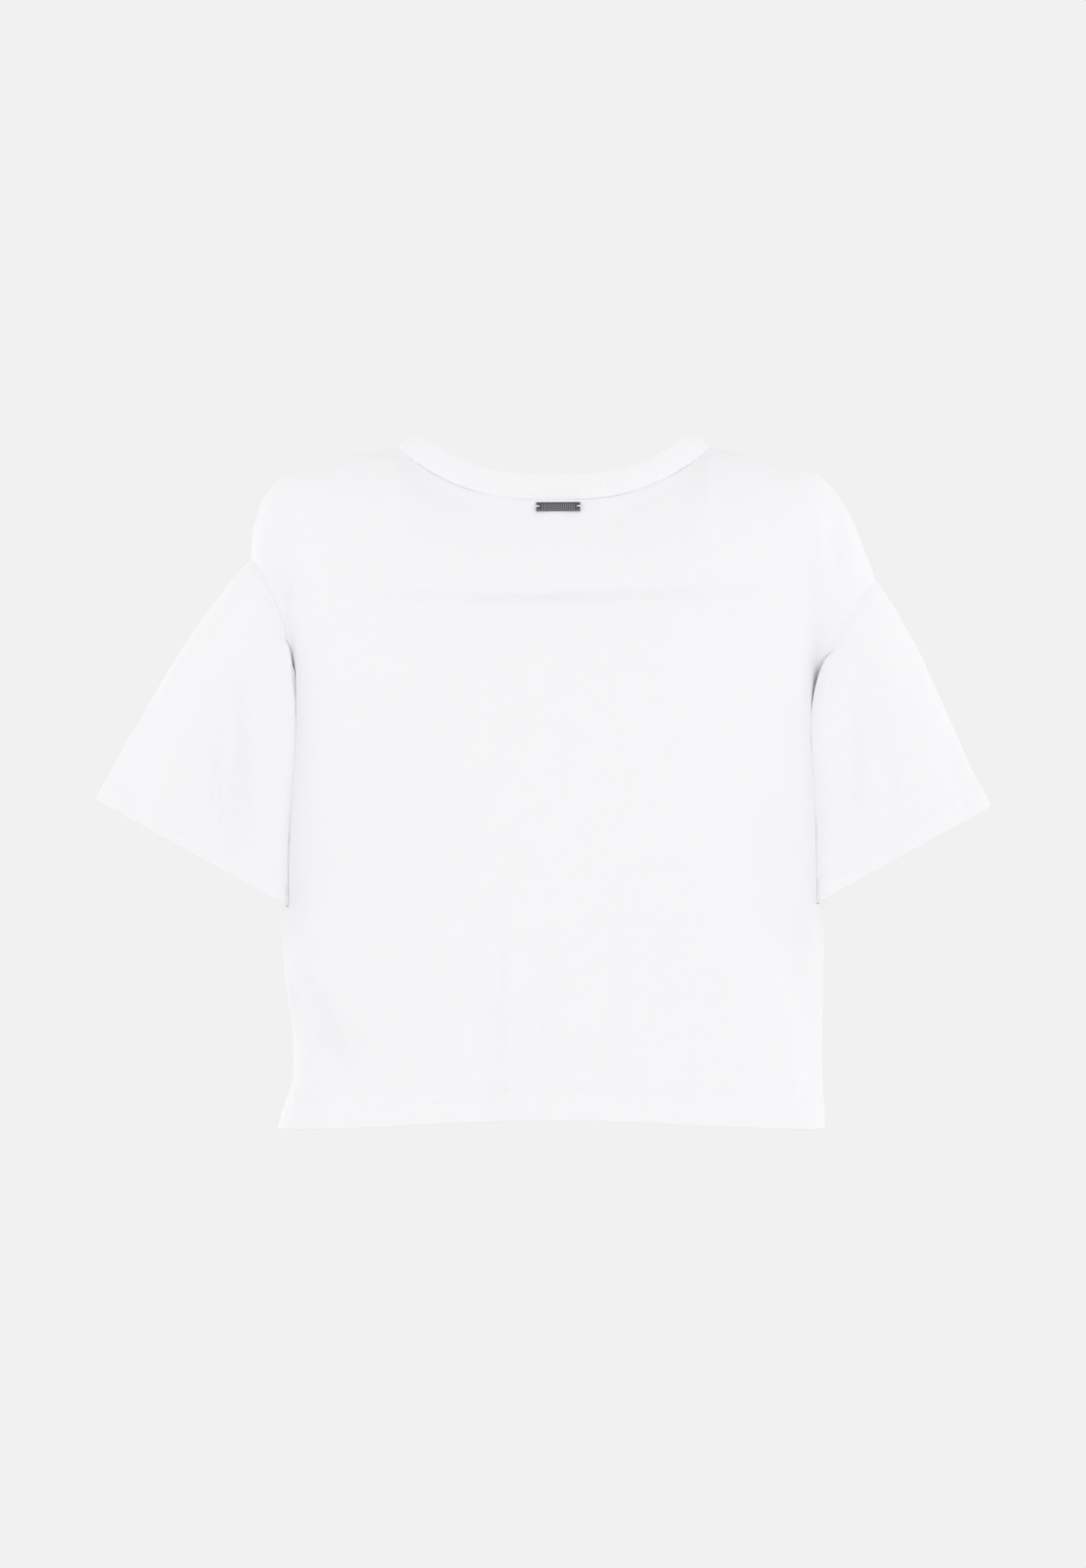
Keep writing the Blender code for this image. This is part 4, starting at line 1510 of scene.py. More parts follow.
@dataclass
class Panel:
    """The back or the front: jersey from the hem to the neck and shoulder seams."""

    name: str
    slot: str
    face: Face
    columns: Sequence[Column]
    folds: Sequence[Fold]
    creases: Sequence[Fold]
    neck_topstitch: float = 2.4
    neck_soft_reach: float = 46.0
    neck_soft_passes: int = 90

    def across(self) -> np.ndarray:
        """Shares of the half width at which the columns stand.

        Returns:
            The shares.
        """
        half_width = 250.0
        half = graded(half_width, COLUMN_STEP, (), EDGE_ROWS) / half_width
        return np.concatenate([-half[:0:-1], half])

    def rises(self) -> np.ndarray:
        """Heights of the body's rows above the hem's edge.

        Returns:
            The heights in millimetres.
        """
        hem = graded(HEM_HEIGHT + HEM_STEP, HEM_ROW_STEP, FOLD_EDGE_ROWS, ())
        body = graded(UNDERARM_Z - HEM_Z - hem[-1], ROW_STEP, (), ())
        return np.concatenate([hem, hem[-1] + body[1:]])

    @staticmethod
    def yoke_shares() -> np.ndarray:
        """Shares of the yoke at which its rows stand, with finer ones at the top edge."""
        length = 235.0
        return graded(length, ROW_STEP, (), EDGE_ROWS) / length

    def plain(self) -> np.ndarray:
        """The panel's form without folds.

        Returns:
            A grid of points in millimetres.
        """
        across = self.across()
        hem = hem_height(across)
        rows = []
        for rise in self.rises():
            level = smooth_step(rise / (UNDERARM_Z - HEM_Z), *HEM_CURVE_SPAN)
            rows.append(section_points(across, hem + rise + (HEM_Z - hem) * level, self.face))
        for share in self.yoke_shares()[1:]:
            shares = np.full_like(across, share)
            rows.append(yoke_points(across, shares, self.face, self.columns))
        plain = np.array(rows)
        reach = [
            np.linalg.norm(plain - [sign * NECK_HALF_WIDTH, 0, 0], axis=-1) for sign in (-1, 1)
        ]
        weight = np.exp(-((np.minimum(*reach) / self.neck_soft_reach) ** 2))
        return soften(plain, weight, self.neck_soft_passes, tube=False)

    def hem_rise(self) -> np.ndarray:
        """How far each row is above the hem's edge, at most as far as the body reaches."""
        rises = self.rises()
        return np.concatenate([rises, np.full(len(self.yoke_shares()) - 1, rises[-1])])[:, None]

    def calm(self) -> np.ndarray:
        """How much of the folds shows at each point: none at the seams.

        Returns:
            A share for each point.
        """
        side = smooth_step(1 - abs(self.across()), 0, SIDE_CALM)
        yoke = smooth_step(1 - self.yoke_shares()[1:], 0, YOKE_CALM)
        top = np.concatenate([np.ones(len(self.rises())), yoke])
        return side * top[:, None]

    def lift(self, plain: np.ndarray) -> np.ndarray:
        """How far each point stands off the plain form.

        Args:
            plain: The points of the plain form.

        Returns:
            The lift of each point in millimetres.
        """
        across, calm = self.across(), self.calm()
        seam_side = smooth_step(1 - abs(across), 0, CREASE_STOP) * np.ones_like(calm)
        folds = fold_lift(plain, self.folds) * calm
        folds += fold_lift(plain, self.creases) * np.minimum(calm * CREASE_REACH, seam_side)
        folds += uneven_lift(plain) * seam_side
        under_arm = (
            smooth_step(abs(across), UNDER_ARM_SHARE, UNDER_ARM_SHARE + UNDER_ARM_BLEND)
            * smooth_step(plain[..., 2], UNDER_ARM_ZONE[0] - UNDER_ARM_FADE[0], UNDER_ARM_ZONE[0])
            * (1 - smooth_step(plain[..., 2], UNDER_ARM_ZONE[1], UNDER_ARM_ZONE[1] + UNDER_ARM_FADE[1]))
        )

        wide, high = arc_lengths(plain, 1), arc_lengths(plain, 0)
        to_side = np.minimum(wide, wide[:, -1:] - wide)
        to_top = high[-1] - high
        beside = to_side < to_top
        lift = folds + SEAM.lift(np.where(beside, to_side, to_top), np.where(beside, high, wide))
        lift *= 1 - UNDER_ARM_CALM * under_arm
        return lift + BODY_HEM.lift(self.hem_rise(), wide)

    def build(self, finish: bpy.types.Material, stitching: Stitching) -> list[bpy.types.Object]:
        """Makes the panel and its stitches.

        Args:
            finish: The jersey.
            stitching: The way its stitches are made.

        Returns:
            The panel and its stitches.
        """
        plain, across, rise = self.plain(), self.across(), self.hem_rise()
        on_side = len(self.rises())
        on_shoulder = abs(across) >= NECK_SHARE
        normals = -self.face.sign * grid_normals(plain, tube=False)
        for column in (0, -1):
            normals[:on_side, column, 1] = 0
        normals[-1, on_shoulder, 1] = 0
        normals = unit(normals)

        rounding = BODY_HEM.rounding(rise)
        thickness = JERSEY + (HEM_JERSEY - JERSEY) * BODY_HEM.doubled(rise, fade=1.5)
        outer = plain + normals * self.lift(plain)[..., None]
        inner = outer - normals * (thickness - rounding)[..., None]
        outer = outer - normals * rounding[..., None]
        neck = ~on_shoulder
        for grid in (outer, inner):
            grid[:on_side, [0, -1], 1] += self.face.sign * SEAM_GAP / 2
            grid[-1, on_shoulder, 1] += self.face.sign * SEAM_GAP / 2
            grid[-1, neck] -= unit(plain[-1, neck] - plain[-2, neck]) * SEAM_GAP / 2

        doubled = BODY_HEM.doubled(rise) * np.ones(len(across))
        cloth = ClothMesh(outer, inner, tube=False).build(self.name, doubled, finish)
        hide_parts(f"{self.slot}_panel")

        up = grid_normals(outer, tube=False) * -self.face.sign
        paths = [
            StitchPath(self.row_at(outer, row), self.row_at(up, row), closed=False)
            for row in BODY_HEM.stitch_rows
        ]
        high = arc_lengths(outer, 0)
        below = (high[-1] - high)[::-1, neck]
        topstitch = (points_at(grid[::-1, neck], below, self.neck_topstitch) for grid in (outer, up))
        paths.append(StitchPath(*topstitch, closed=False))
        stitches = stitching.sew(f"{self.name}_stitches", paths)
        return [cloth, stitches]

    def row_at(self, grid: np.ndarray, rise: float) -> np.ndarray:
        """The points of a grid at a height above the hem.

        Args:
            grid: The grid.
            rise: The height in millimetres.

        Returns:
            A point for each column.
        """
        heights = self.rises()
        index = int(np.searchsorted(heights, rise)) - 1
        share = (rise - heights[index]) / (heights[index + 1] - heights[index])
        return grid[index] * (1 - share) + grid[index + 1] * share


@dataclass
class Sleeve:
    """A short sleeve: a tube of jersey from the armhole to its hem."""

    name: str
    side: Side
    lines: SleeveLines
    folds: Sequence[Fold]
    creases: Sequence[Fold]
    main_rows: float = 0.75  # share of the rows above the hem
    hem_rows: float = 0.8333
    seam_reach: float = 2.5  # over which the sleeve's wall takes the panels' direction
    soft_passes: int = 2
    under_seam_off: float = 0.8  # added to the distance from the underarm seam, so it sinks less
    relief_stop: float = 0.35  # hold on the body from which nothing stands proud

    def armhole_edge(self, face: Face, columns: Sequence[Column]) -> tuple[np.ndarray, np.ndarray]:
        """A panel's edge at the armhole, from the underarm up, and the panel's normals there.

        Args:
            face: The face of the body that the panel covers.
            columns: The panel's columns.

        Returns:
            The points and the normals.
        """
        share = Panel.yoke_shares()
        edge, inside = (
            yoke_points(np.full_like(share, self.side.sign * across), share, face, columns)
            for across in (1, NEAR_EDGE)
        )
        up = np.gradient(edge, axis=0)
        return edge, self.side.sign * face.sign * unit(np.cross(inside - edge, up))

    def armhole(self) -> tuple[np.ndarray, np.ndarray, np.ndarray]:
        """The armhole seam's points, normals and turns, up the back and down the front.

        Returns:
            The points, the normals and the turns.
        """
        up_back, back_normals = self.armhole_edge(BACK, BACK_COLUMNS)
        up_front, front_normals = self.armhole_edge(FRONT, FRONT_COLUMNS)
        back_normals[[0, -1]] += front_normals[[0, -1]]
        share = Panel.yoke_shares()
        turn = np.concatenate([share, 2 - share[-2:0:-1]]) * math.pi
        points = np.concatenate([up_back, up_front[-2:0:-1]])
        return points, unit(np.concatenate([back_normals, front_normals[-2:0:-1]])), turn

    @staticmethod
    def opening(angle: np.ndarray) -> tuple[np.ndarray, np.ndarray]:
        """Shares of the half width and half depth of the sleeve's squarish opening at each angle.

        Args:
            angle: Angles round the sleeve, in radians.

        Returns:
            The shares of the half width and those of the half depth.
        """
        cosine, sine = np.cos(angle), np.sin(angle)
        power = 2 / np.where(cosine > 0, INNER_ROUNDNESS, SLEEVE_ROUNDNESS)
        return np.sign(cosine) * abs(cosine) ** power, np.sign(sine) * abs(sine) ** power

    def cuff(self, turn: np.ndarray) -> np.ndarray:
        """The open end: turn is 0 at its underarm corner and pi at its outer corner.

        Args:
            turn: Angles round the sleeve, in radians.

        Returns:
            A point for each, in millimetres.
        """
        outer, inner = np.array(self.side.cuff_outer), np.array(self.side.cuff_inner)
        middle, arm = (outer + inner) / 2, (inner - outer) / 2
        angle = np.linspace(0, 2 * math.pi, 4 * SECTION_STEPS + 1)
        wide, deep = self.opening(angle)
        curve = np.stack([wide * np.linalg.norm(arm), deep * self.side.cuff_half_depth], axis=-1)
        run = arc_lengths(curve, 0)
        corners = run[::SECTION_STEPS]
        even = np.interp(np.interp(turn, angle[::SECTION_STEPS], corners), run, angle)
        wide, deep = self.opening(even)
        out, z = (middle + arm * wide[:, None]).T
        y = self.side.cuff_forward - self.side.cuff_half_depth * deep
        return np.stack([self.side.sign * out, y, z], axis=-1)

    def slopes(self, turn: np.ndarray) -> tuple[np.ndarray, np.ndarray]:
        """Slopes of the lengthwise lines at the armhole and at the cuff.

        Args:
            turn: Angles round the sleeve, in radians.

        Returns:
            The slopes at the armhole and those at the cuff.
        """
        under, middle, shoulder = np.array(self.lines, float)
        slopes = (
            (under + 2 * middle + shoulder) / 4
            + (under - shoulder) / 2 * np.cos(turn)[:, None, None]
            + (under - 2 * middle + shoulder) / 4 * np.cos(2 * turn)[:, None, None]
        )
        slopes[..., 1] = -middle[:, 1] * np.sin(turn)[:, None]
        hug = smooth_step(np.cos(turn), *HUG_TURN)
        slopes[:, 0, 0] *= 1 - HUG_IN * hug
        slopes[:, 0, 1] -= HUG_DEEP * hug * np.sin(2 * turn)
        slopes[..., 0] *= self.side.sign
        return slopes[:, 0], slopes[:, 1]

    def side_of_body(self, y: np.ndarray, z: np.ndarray) -> tuple[np.ndarray, np.ndarray]:
        """How far out the garment's side lies up to the armhole's seam.

        Args:
            y: The depth of each point.
            z: Its height.

        Returns:
            The side's distance from the middle, and how far each point is below the seam.
        """
        seam = self.armhole()[0]
        quarter = len(seam) // 4
        lower = np.concatenate([seam[quarter::-1], seam[: -quarter - 1 : -1]])
        seam_out, seam_z = (
            np.interp(y, lower[:, 1], lower[:, axis] * sign)
            for axis, sign in ((0, self.side.sign), (2, 1))
        )
        side = body_half_width(y, np.minimum(z, UNDERARM_Z), self.side)
        rise = np.clip((z - UNDERARM_Z) / np.maximum(seam_z - UNDERARM_Z, 0.5), 0, 1)
        return side + (seam_out - side) * rise**3, np.maximum(seam_z - z, 0)

    def rest_on_body(self, points: np.ndarray, hold: np.ndarray, drawn: Any = 0.0) -> np.ndarray:
        """Moves points out until they are just clear of the body, and in to it where hold is 1.

        Args:
            points: Rows of points.
            hold: How firmly each point is held on the body.
            drawn: How far each point is first drawn in.

        Returns:
            The moved points, which slide along the slope of the sleeve's hem near it.
        """
        x, y, z = points[..., 0], points[..., 1], points[..., 2]
        side, below = self.side_of_body(y.ravel(), z.ravel())
        beside = smooth_step(below, 0, SIDE_BEGINS).reshape(x.shape)
        limit = side.reshape(x.shape) + ARM_CLEARANCE * beside
        out = self.side.sign * x
        rested = limit + np.maximum(out - drawn - limit, 0) * (1 - hold)
        (outer_out, outer_z), (inner_out, inner_z) = self.side.cuff_outer, self.side.cuff_inner
        slope = (outer_z - inner_z) / (outer_out - inner_out)
        near_hem = smooth_step(below, 0, SLIDE_BELOW).reshape(x.shape)
        moved = points.copy()
        moved[..., 2] += (rested - out) * slope * near_hem
        moved[..., 0] = self.side.sign * (out + beside * (rested - out))
        return moved

    @staticmethod
    def press_corner(points: np.ndarray, weight: np.ndarray) -> np.ndarray:
        """Squares the corner between the cloth on the body's side and the sleeve's back or front.

        Args:
            points: Rows of points round the sleeve.
            weight: How much each point takes part.

        Returns:
            The points, those near the corner as deep as the deepest of their row.
        """
        y = points[..., 1]
        reach = np.where(y < 0, -y.min(axis=1, keepdims=True), y.max(axis=1, keepdims=True))
        share = np.clip(abs(y) / reach, 0, 1)
        pressed = np.sign(y) * reach * (1 - (1 - share) ** CORNER_PRESS)
        moved = points.copy()
        moved[..., 1] += (pressed - y) * weight
        return moved

    def row_turns(self) -> np.ndarray:
        """Where the rows stand: 0 at the armhole, main_rows where the hem's step starts, 1 at its edge.

        Returns:
            The place of each row.
        """
        length = 185.0
        main = graded(length, ROW_STEP, EDGE_ROWS, ()) / length * self.main_rows
        step = np.linspace(self.main_rows, self.hem_rows, 3)[1:]
        span = 1 - self.hem_rows
        hem = graded(SLEEVE_HEM_HEIGHT, HEM_ROW_STEP, (), FOLD_EDGE_ROWS) / SLEEVE_HEM_HEIGHT
        return np.concatenate([main, step, self.hem_rows + span * hem[1:]])

    def grid(self) -> tuple[np.ndarray, ...]:
        """The sleeve's form without folds.

        Returns:
            Points, the panels' normals at the armhole, hold on the body, share of the length, and
            distance from the hem's edge.
        """
        start, away, turn = self.armhole()
        end = self.cuff(turn)
        leave, arrive = self.slopes(turn)
        size = np.linalg.norm(leave, axis=1)
        needed = np.maximum(LEAVE_CLEAR - (leave * away).sum(axis=1) / size, 0) * size
        leave = leave + away * needed[:, None]
        start = start + (START_AWAY * away + START_ALONG * unit(leave)) * SEAM_GAP

        length = np.linalg.norm(end - start, axis=-1)
        hem = 1 - SLEEVE_HEM_HEIGHT / length
        step = hem - HEM_STEP / length
        down = self.row_turns()
        knots = [0, self.main_rows, self.hem_rows, 1]
        shares = np.array([
            np.interp(down, knots, [0, step[column], hem[column], 1]) for column in range(len(turn))
        ]).T
        plain = np.array([hermite(start, leave, end, arrive, row[:, None]) for row in shares])
        hold = smooth_step(np.cos(turn), *HELD_TURN) * smooth_step(down[:, None], *HELD_LENGTH)
        plain[1:] = self.rest_on_body(plain[1:], hold[1:])
        plain = soften(plain, np.ones(plain.shape[:2]), self.soft_passes, tube=True)
        pressed = smooth_step(np.cos(turn), *PRESSED_TURN) * smooth_step(down[:, None], *PRESSED_LENGTH)
        plain = self.press_corner(plain, pressed)
        plain[1:] = self.rest_on_body(plain[1:], hold[1:], OVERLAP * pressed[1:])
        to_edge = (1 - shares) * length
        return plain, away, hold, np.broadcast_to(down[:, None], hold.shape), to_edge

    def build(self, finish: bpy.types.Material, stitching: Stitching) -> list[bpy.types.Object]:
        """Makes the sleeve and its stitches.

        Args:
            finish: The jersey.
            stitching: The way its stitches are made.

        Returns:
            The sleeve and its stitches.
        """
        plain, away, hold, down, to_edge = self.grid()
        at_seam = np.exp(-((arc_lengths(plain, 0) / self.seam_reach) ** 2))[..., None]
        normals = -self.side.sign * grid_normals(plain, tube=True)
        normals = unit(normals * (1 - at_seam) + away * at_seam)
        facing = smooth_step(abs(normals[..., 1]), *FOLD_FACING)
        calm = smooth_step(down, 0, SLEEVE_CALM)
        folds = (fold_lift(plain, self.folds) + fold_lift(plain, self.creases)) * calm * facing
        outer = plain + normals * (folds + uneven_lift(plain) * calm * (1 - hold))[..., None]
        outer[1:] = self.rest_on_body(outer[1:], hold[1:])

        along, round_it = arc_lengths(outer, 0), arc_lengths(outer, 1)
        relief = SEAM.lift(along, round_it) + SLEEVE_HEM.lift(to_edge, round_it)
        under_seam = np.minimum(round_it, round_it[:, -1:] - round_it)
        relief += SEAM.lift(under_seam + self.under_seam_off, along) * (1 - hold)
        rounding = SLEEVE_HEM.rounding(to_edge)
        doubled = SLEEVE_HEM.doubled(to_edge)
        thickness = JERSEY + (HEM_JERSEY - JERSEY) * doubled
        relief -= np.maximum(relief, 0) * smooth_step(hold, 0, self.relief_stop)
        outer = outer + normals * relief[..., None]
        inner = outer - normals * (thickness - rounding)[..., None]
        outer = outer - normals * rounding[..., None]
        cloth = ClothMesh(outer, inner, tube=True).build(self.name, doubled, finish)
        slot = self.name.replace("_cloth", "")
        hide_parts(slot)

        up = -self.side.sign * grid_normals(outer, tube=True)
        from_edge = to_edge[::-1]
        paths = [
            StitchPath(
                points_at(outer[::-1], from_edge, row), points_at(up[::-1], from_edge, row), closed=True
            )
            for row in SLEEVE_HEM.stitch_rows
        ]
        stitches = stitching.sew(f"{slot}_stitches", paths)
        return [cloth, stitches]


class BandPoint(NamedTuple):
    """A corner of the neck band's section: share of its width, and how far it stands proud."""

    share: float
    proud: float


BAND_PROFILE = (  # share, proud
    BandPoint(0.00, -0.16),
    BandPoint(0.05, 0.18),
    BandPoint(0.12, 0.5),
    BandPoint(0.28, 0.9),
    BandPoint(0.55, 1.2),
    BandPoint(0.85, 0.85),
    BandPoint(0.96, 0.3),
    BandPoint(1.00, -0.6),
    BandPoint(0.97, -1.4),
    BandPoint(0.80, -1.1),
    BandPoint(0.55, -0.8),
    BandPoint(0.25, -1.2),
    BandPoint(0.04, -1.9),
)


@dataclass
class NeckBand:
    """The folded band at the neck, knitted in a fine rib."""

    name: str = "neck_band_cloth"
    node: str = "neck_band"
    slot: str = "band"
    columns: int = 420
    between: int = 3
    pucker: float = 0.14
    pucker_wave: float = 9.0
    pucker_drift: float = 37.0

    def profile(self) -> np.ndarray:
        """(share, proud) round the section, closed and smooth.

        Returns:
            A row for each point of the section.
        """
        corners = np.array(BAND_PROFILE, float)
        before, after = np.roll(corners, 1, axis=0), np.roll(corners, -1, axis=0)
        slopes = (after - before) / 2
        points = [
            hermite(corners, slopes, after, np.roll(slopes, -1, axis=0), np.float64(part / self.between))
            for part in range(self.between)
        ]
        return np.stack(points, axis=1).reshape(-1, 2)

    def build(self, finish: bpy.types.Material) -> bpy.types.Object:
        """Makes the band.

        Args:
            finish: The ribbed knit.

        Returns:
            The band.
        """
        turn = np.linspace(0, 2 * math.pi, self.columns, endpoint=False)
        at_back = (np.cos(turn) > 0)[:, None]
        seam = np.where(at_back, neck_seam(turn, BACK), neck_seam(math.pi - turn, FRONT))
        edge = np.where(at_back, neck_edge(turn, BACK), neck_edge(math.pi - turn, FRONT))
        wrapped = np.concatenate([seam[-1:], seam, seam[:1]])
        tangent = unit(np.gradient(wrapped, axis=0)[1:-1])
        width = edge - seam
        outward = unit(np.cross(tangent, width))
        seam = seam + unit(width) * SEAM_GAP
        along = arc_lengths(np.concatenate([seam, seam[:1]])[None], 1)[0, :-1]
        waves = np.sin(2 * math.pi * along / self.pucker_wave + 2 * np.sin(along / self.pucker_drift))
        rows = []
        for share, proud in self.profile():
            sewn = self.pucker * waves * (1 - share)
            rows.append(seam + width * share + outward * (proud + sewn)[:, None])
        grid = np.array(rows)

        index = np.arange(grid.shape[0] * grid.shape[1]).reshape(grid.shape[:2])
        faces = quads_of(np.pad(index, ((0, 1), (0, 1)), mode="wrap"))
        made = mesh_object(self.name, grid.reshape(-1, 3) * MM, faces, finish)
        closed = np.pad(grid, ((0, 1), (0, 1), (0, 0)), mode="wrap")
        up = arc_lengths(closed, 0)
        across = np.broadcast_to(arc_lengths(closed, 1)[0], up.shape)
        add_uv(made.data, np.stack([across, up], axis=-1) * MM, grid.shape[:2])
        store(made.data, "doubled", np.ones(len(made.data.vertices)))
        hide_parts(self.node)
        return made


@dataclass
class BarLabel:
    """A small dark metal plate with a plain rim, an upright reeded field and a hole at each end."""

    name: str = "bar_label_plate"
    node: str = "bar_label"
    slot: str = "gunmetal"
    length: float = 31.7
    height: float = 7.4
    thickness: float = 1.2
    bevel: float = 0.3
    rim: float = 0.75
    recess: float = 0.3
    below_seam: float = 7.0
    off_middle: float = 3.0
    clearance: float = 0.3
    hole: float = 1.5
    hole_inset: float = 2.4
    reed_pitch: float = 1.5
    reed_width: float = 0.95
    reed_height: float = 0.34
    thread_width: float = 0.5
    field_step: float = 0.22
    reed_gap: float = 0.35
    reed_sunk: float = 0.12
    rubbed_depth: float = 0.22
    sharp_angle: float = 35.0
    near_top: float = 0.86  # share of the yoke from which the back is felt out under the bar

    def place(self) -> tuple[np.ndarray, np.ndarray]:
        """The bar's middle and its axes (along, down, out), just clear of the back panel.

        Returns:
            The middle and the axes.
        """
        half = self.length / 2
        rows = np.linspace(self.near_top, 1, 15)
        middle = math.asin(self.off_middle / NECK_HALF_WIDTH) * 2 / math.pi * NECK_SHARE
        reach = math.asin(half / NECK_HALF_WIDTH) * 2 / math.pi * NECK_SHARE
        lines = [
            yoke_points(np.full_like(rows, middle + step * reach), rows, BACK, BACK_COLUMNS)
            for step in (-1, -0.5, 0, 0.5, 1)
        ]
        down_cloth = np.linalg.norm(lines[2] - lines[2][-1], axis=-1)
        down_row = np.interp(self.below_seam, down_cloth[::-1], rows[::-1])
        centre = yoke_points(np.array([middle]), np.array([down_row]), BACK, BACK_COLUMNS)[0]
        along = unit(lines[-1][-1] - lines[0][-1])
        down = unit(lines[2][0] - lines[2][-1])
        out = unit(np.cross(down, along))
        nearby = np.concatenate(lines)
        under_bar = nearby[abs((nearby - centre) @ down) < self.height / 2]
        proud = ((under_bar - centre) @ out).max()
        lifted = centre + out * (proud + self.clearance + self.thickness / 2)
        return lifted, np.array([along, down, out])

    def matrix(self) -> Matrix:
        """From the bar's own millimetres (along, down, out) to metres in the frame.

        Returns:
            The matrix.
        """
        centre, axes = self.place()
        turned = Matrix(axes.T.tolist()).to_4x4()
        return Matrix.Translation(Vector(centre * MM)) @ turned @ Matrix.Scale(MM, 4)

    def plate(self) -> bmesh.types.BMesh:
        """The plate in its own millimetres: bevelled, with a sunk field inside the rim.

        Returns:
            The plate.
        """
        bm = bmesh.new()
        bmesh.ops.create_cube(bm, size=1)
        bmesh.ops.scale(bm, vec=(self.length, self.height, self.thickness), verts=bm.verts)
        bmesh.ops.bevel(
            bm, geom=bm.edges[:], offset=self.bevel, segments=3, affect="EDGES", profile=0.5
        )
        front = max(bm.faces, key=lambda face: face.calc_center_median().z)
        bmesh.ops.inset_individual(bm, faces=[front], thickness=self.rim - self.bevel, depth=0)
        bmesh.ops.inset_individual(bm, faces=[front], thickness=self.field_step, depth=-self.recess)
        return bm

    def reeds(self, bm: bmesh.types.BMesh) -> None:
        """Adds the field's upright reeds, which keep clear of the holes.

        Args:
            bm: The bmesh that takes them.
        """
        clear = self.hole_inset + self.hole / 2 + 0.5
        span = self.length - 2 * clear - self.reed_width
        count = int(span / self.reed_pitch) + 1
        floor = self.thickness / 2 - self.recess
        half = self.height / 2 - self.rim - self.reed_gap
        sunk = self.reed_sunk
        for step in range(count):
            middle = (step - (count - 1) / 2) * self.reed_pitch
            ring = [
                (
                    middle + self.reed_width / 2 * math.cos(turn),
                    floor - sunk + (self.reed_height + sunk) * math.sin(turn),
                )
                for turn in np.linspace(0, math.pi, 7)
            ]
            rows = [
                [bm.verts.new((x, y * part, floor - sunk + (z - floor + sunk) * lower)) for x, z in ring]
                for y, part, lower in ((-half, 1, 0.35), (-half, 0.86, 1), (half, 0.86, 1), (half, 1, 0.35))
            ]
            for near, far in zip(rows, rows[1:]):
                for corner in range(len(ring) - 1):
                    bm.faces.new((near[corner], near[corner + 1], far[corner + 1], far[corner]))
                bm.faces.new((near[-1], near[0], far[0], far[-1]))
            bm.faces.new(rows[0][::-1])
            bm.faces.new(rows[-1])

    def cutter(self, end: int) -> bpy.types.Object:
        """A cylinder through the plate at one end.

        Args:
            end: -1 or 1, for the end of the plate.

        Returns:
            The cylinder.
        """
        bm = bmesh.new()
        bmesh.ops.create_cone(
            bm, cap_ends=True, segments=32, radius1=self.hole / 2, radius2=self.hole / 2,
            depth=3 * self.thickness,
        )
        bmesh.ops.translate(bm, verts=bm.verts, vec=(end * (self.length / 2 - self.hole_inset), 0, 0))
        bm.transform(self.matrix())
        return new_object("hole_cutter", mesh_of(bm, "hole_cutter"))

    def build(self, finish: bpy.types.Material, thread: bpy.types.Material) -> list[bpy.types.Object]:
        """Makes the plate and the thread that holds it.

        Args:
            finish: The dark metal.
            thread: The sewing thread.

        Returns:
            The plate and the thread.
        """
        bm = self.plate()
        bm.transform(self.matrix())
        bmesh.ops.recalc_face_normals(bm, faces=bm.faces)
        mesh = mesh_of(bm, "plate")
        mesh.materials.append(finish)
        raw = new_object("plate", mesh)
        cutters = [self.cutter(end) for end in (-1, 1)]
        for cutter in cutters:
            hole = raw.modifiers.new("hole", "BOOLEAN")
            hole.object = cutter
            hole.operation = "DIFFERENCE"
        plate = baked(raw, self.name)
        for cutter in cutters:
            bpy.data.objects.remove(cutter, do_unlink=True)
        self.finish_plate(plate)
        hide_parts(self.node)
        return [plate, self.threads(thread)]

    def finish_plate(self, plate: bpy.types.Object) -> None:
        """Adds the reeds, smooths the plate and marks what is rubbed bright.

        Args:
            plate: The plate.
        """
        bm = bmesh.new()
        bm.from_mesh(plate.data)
        field = bmesh.new()
        self.reeds(field)
        bmesh.ops.recalc_face_normals(field, faces=field.faces)
        field.transform(self.matrix())
        reeds = mesh_of(field, "reeds")
        bm.from_mesh(reeds)
        bm.to_mesh(plate.data)
        bm.free()
        bpy.data.meshes.remove(reeds)
        plate.data.shade_smooth()
        plate.data.set_sharp_from_angle(angle=math.radians(self.sharp_angle))
        centre, axes = self.place()
        points = np.empty(len(plate.data.vertices) * 3)
        plate.data.vertices.foreach_get("co", points)
        out = (points.reshape(-1, 3) / MM - centre) @ axes[2]
        top = self.thickness / 2
        store(plate.data, "rubbed", smooth_step(out, top - self.rubbed_depth, top))

    def threads(self, thread: bpy.types.Material) -> bpy.types.Object:
        """Two passes of thread from each hole over the plate's end into the cloth.

        Args:
            thread: Their finish.

        Returns:
            The threads as one object.
        """
        top = self.thickness / 2
        inset, radius = self.hole_inset, self.thread_width / 2
        points, faces = [], []
        for end in (-1, 1):
            for lane in (-0.3, 0.3):
                away = self.length / 2
                path = np.array([
                    (away - inset, lane * 0.5, -top),
                    (away - inset + 0.1, lane * 0.6, top - 0.35),
                    (away - inset + 0.5, lane * 0.8, top + 0.12),
                    (away - inset / 2, lane, top + 0.22),
                    (away - 0.3, lane * 1.1, top + 0.14),
                    (away + 0.28, lane * 1.2, top - 0.3),
                    (away + 0.34, lane * 1.3, -top - 0.35),
                ]) * [end, 1, 1]
                tube_points, tube_faces = self.tube(path, radius, len(points))
                points += tube_points
                faces += tube_faces
        centre, axes = self.place()
        placed = (centre + np.array(points) @ axes) * MM
        made = mesh_object("bar_label_thread", placed, np.array(faces), thread)
        return made

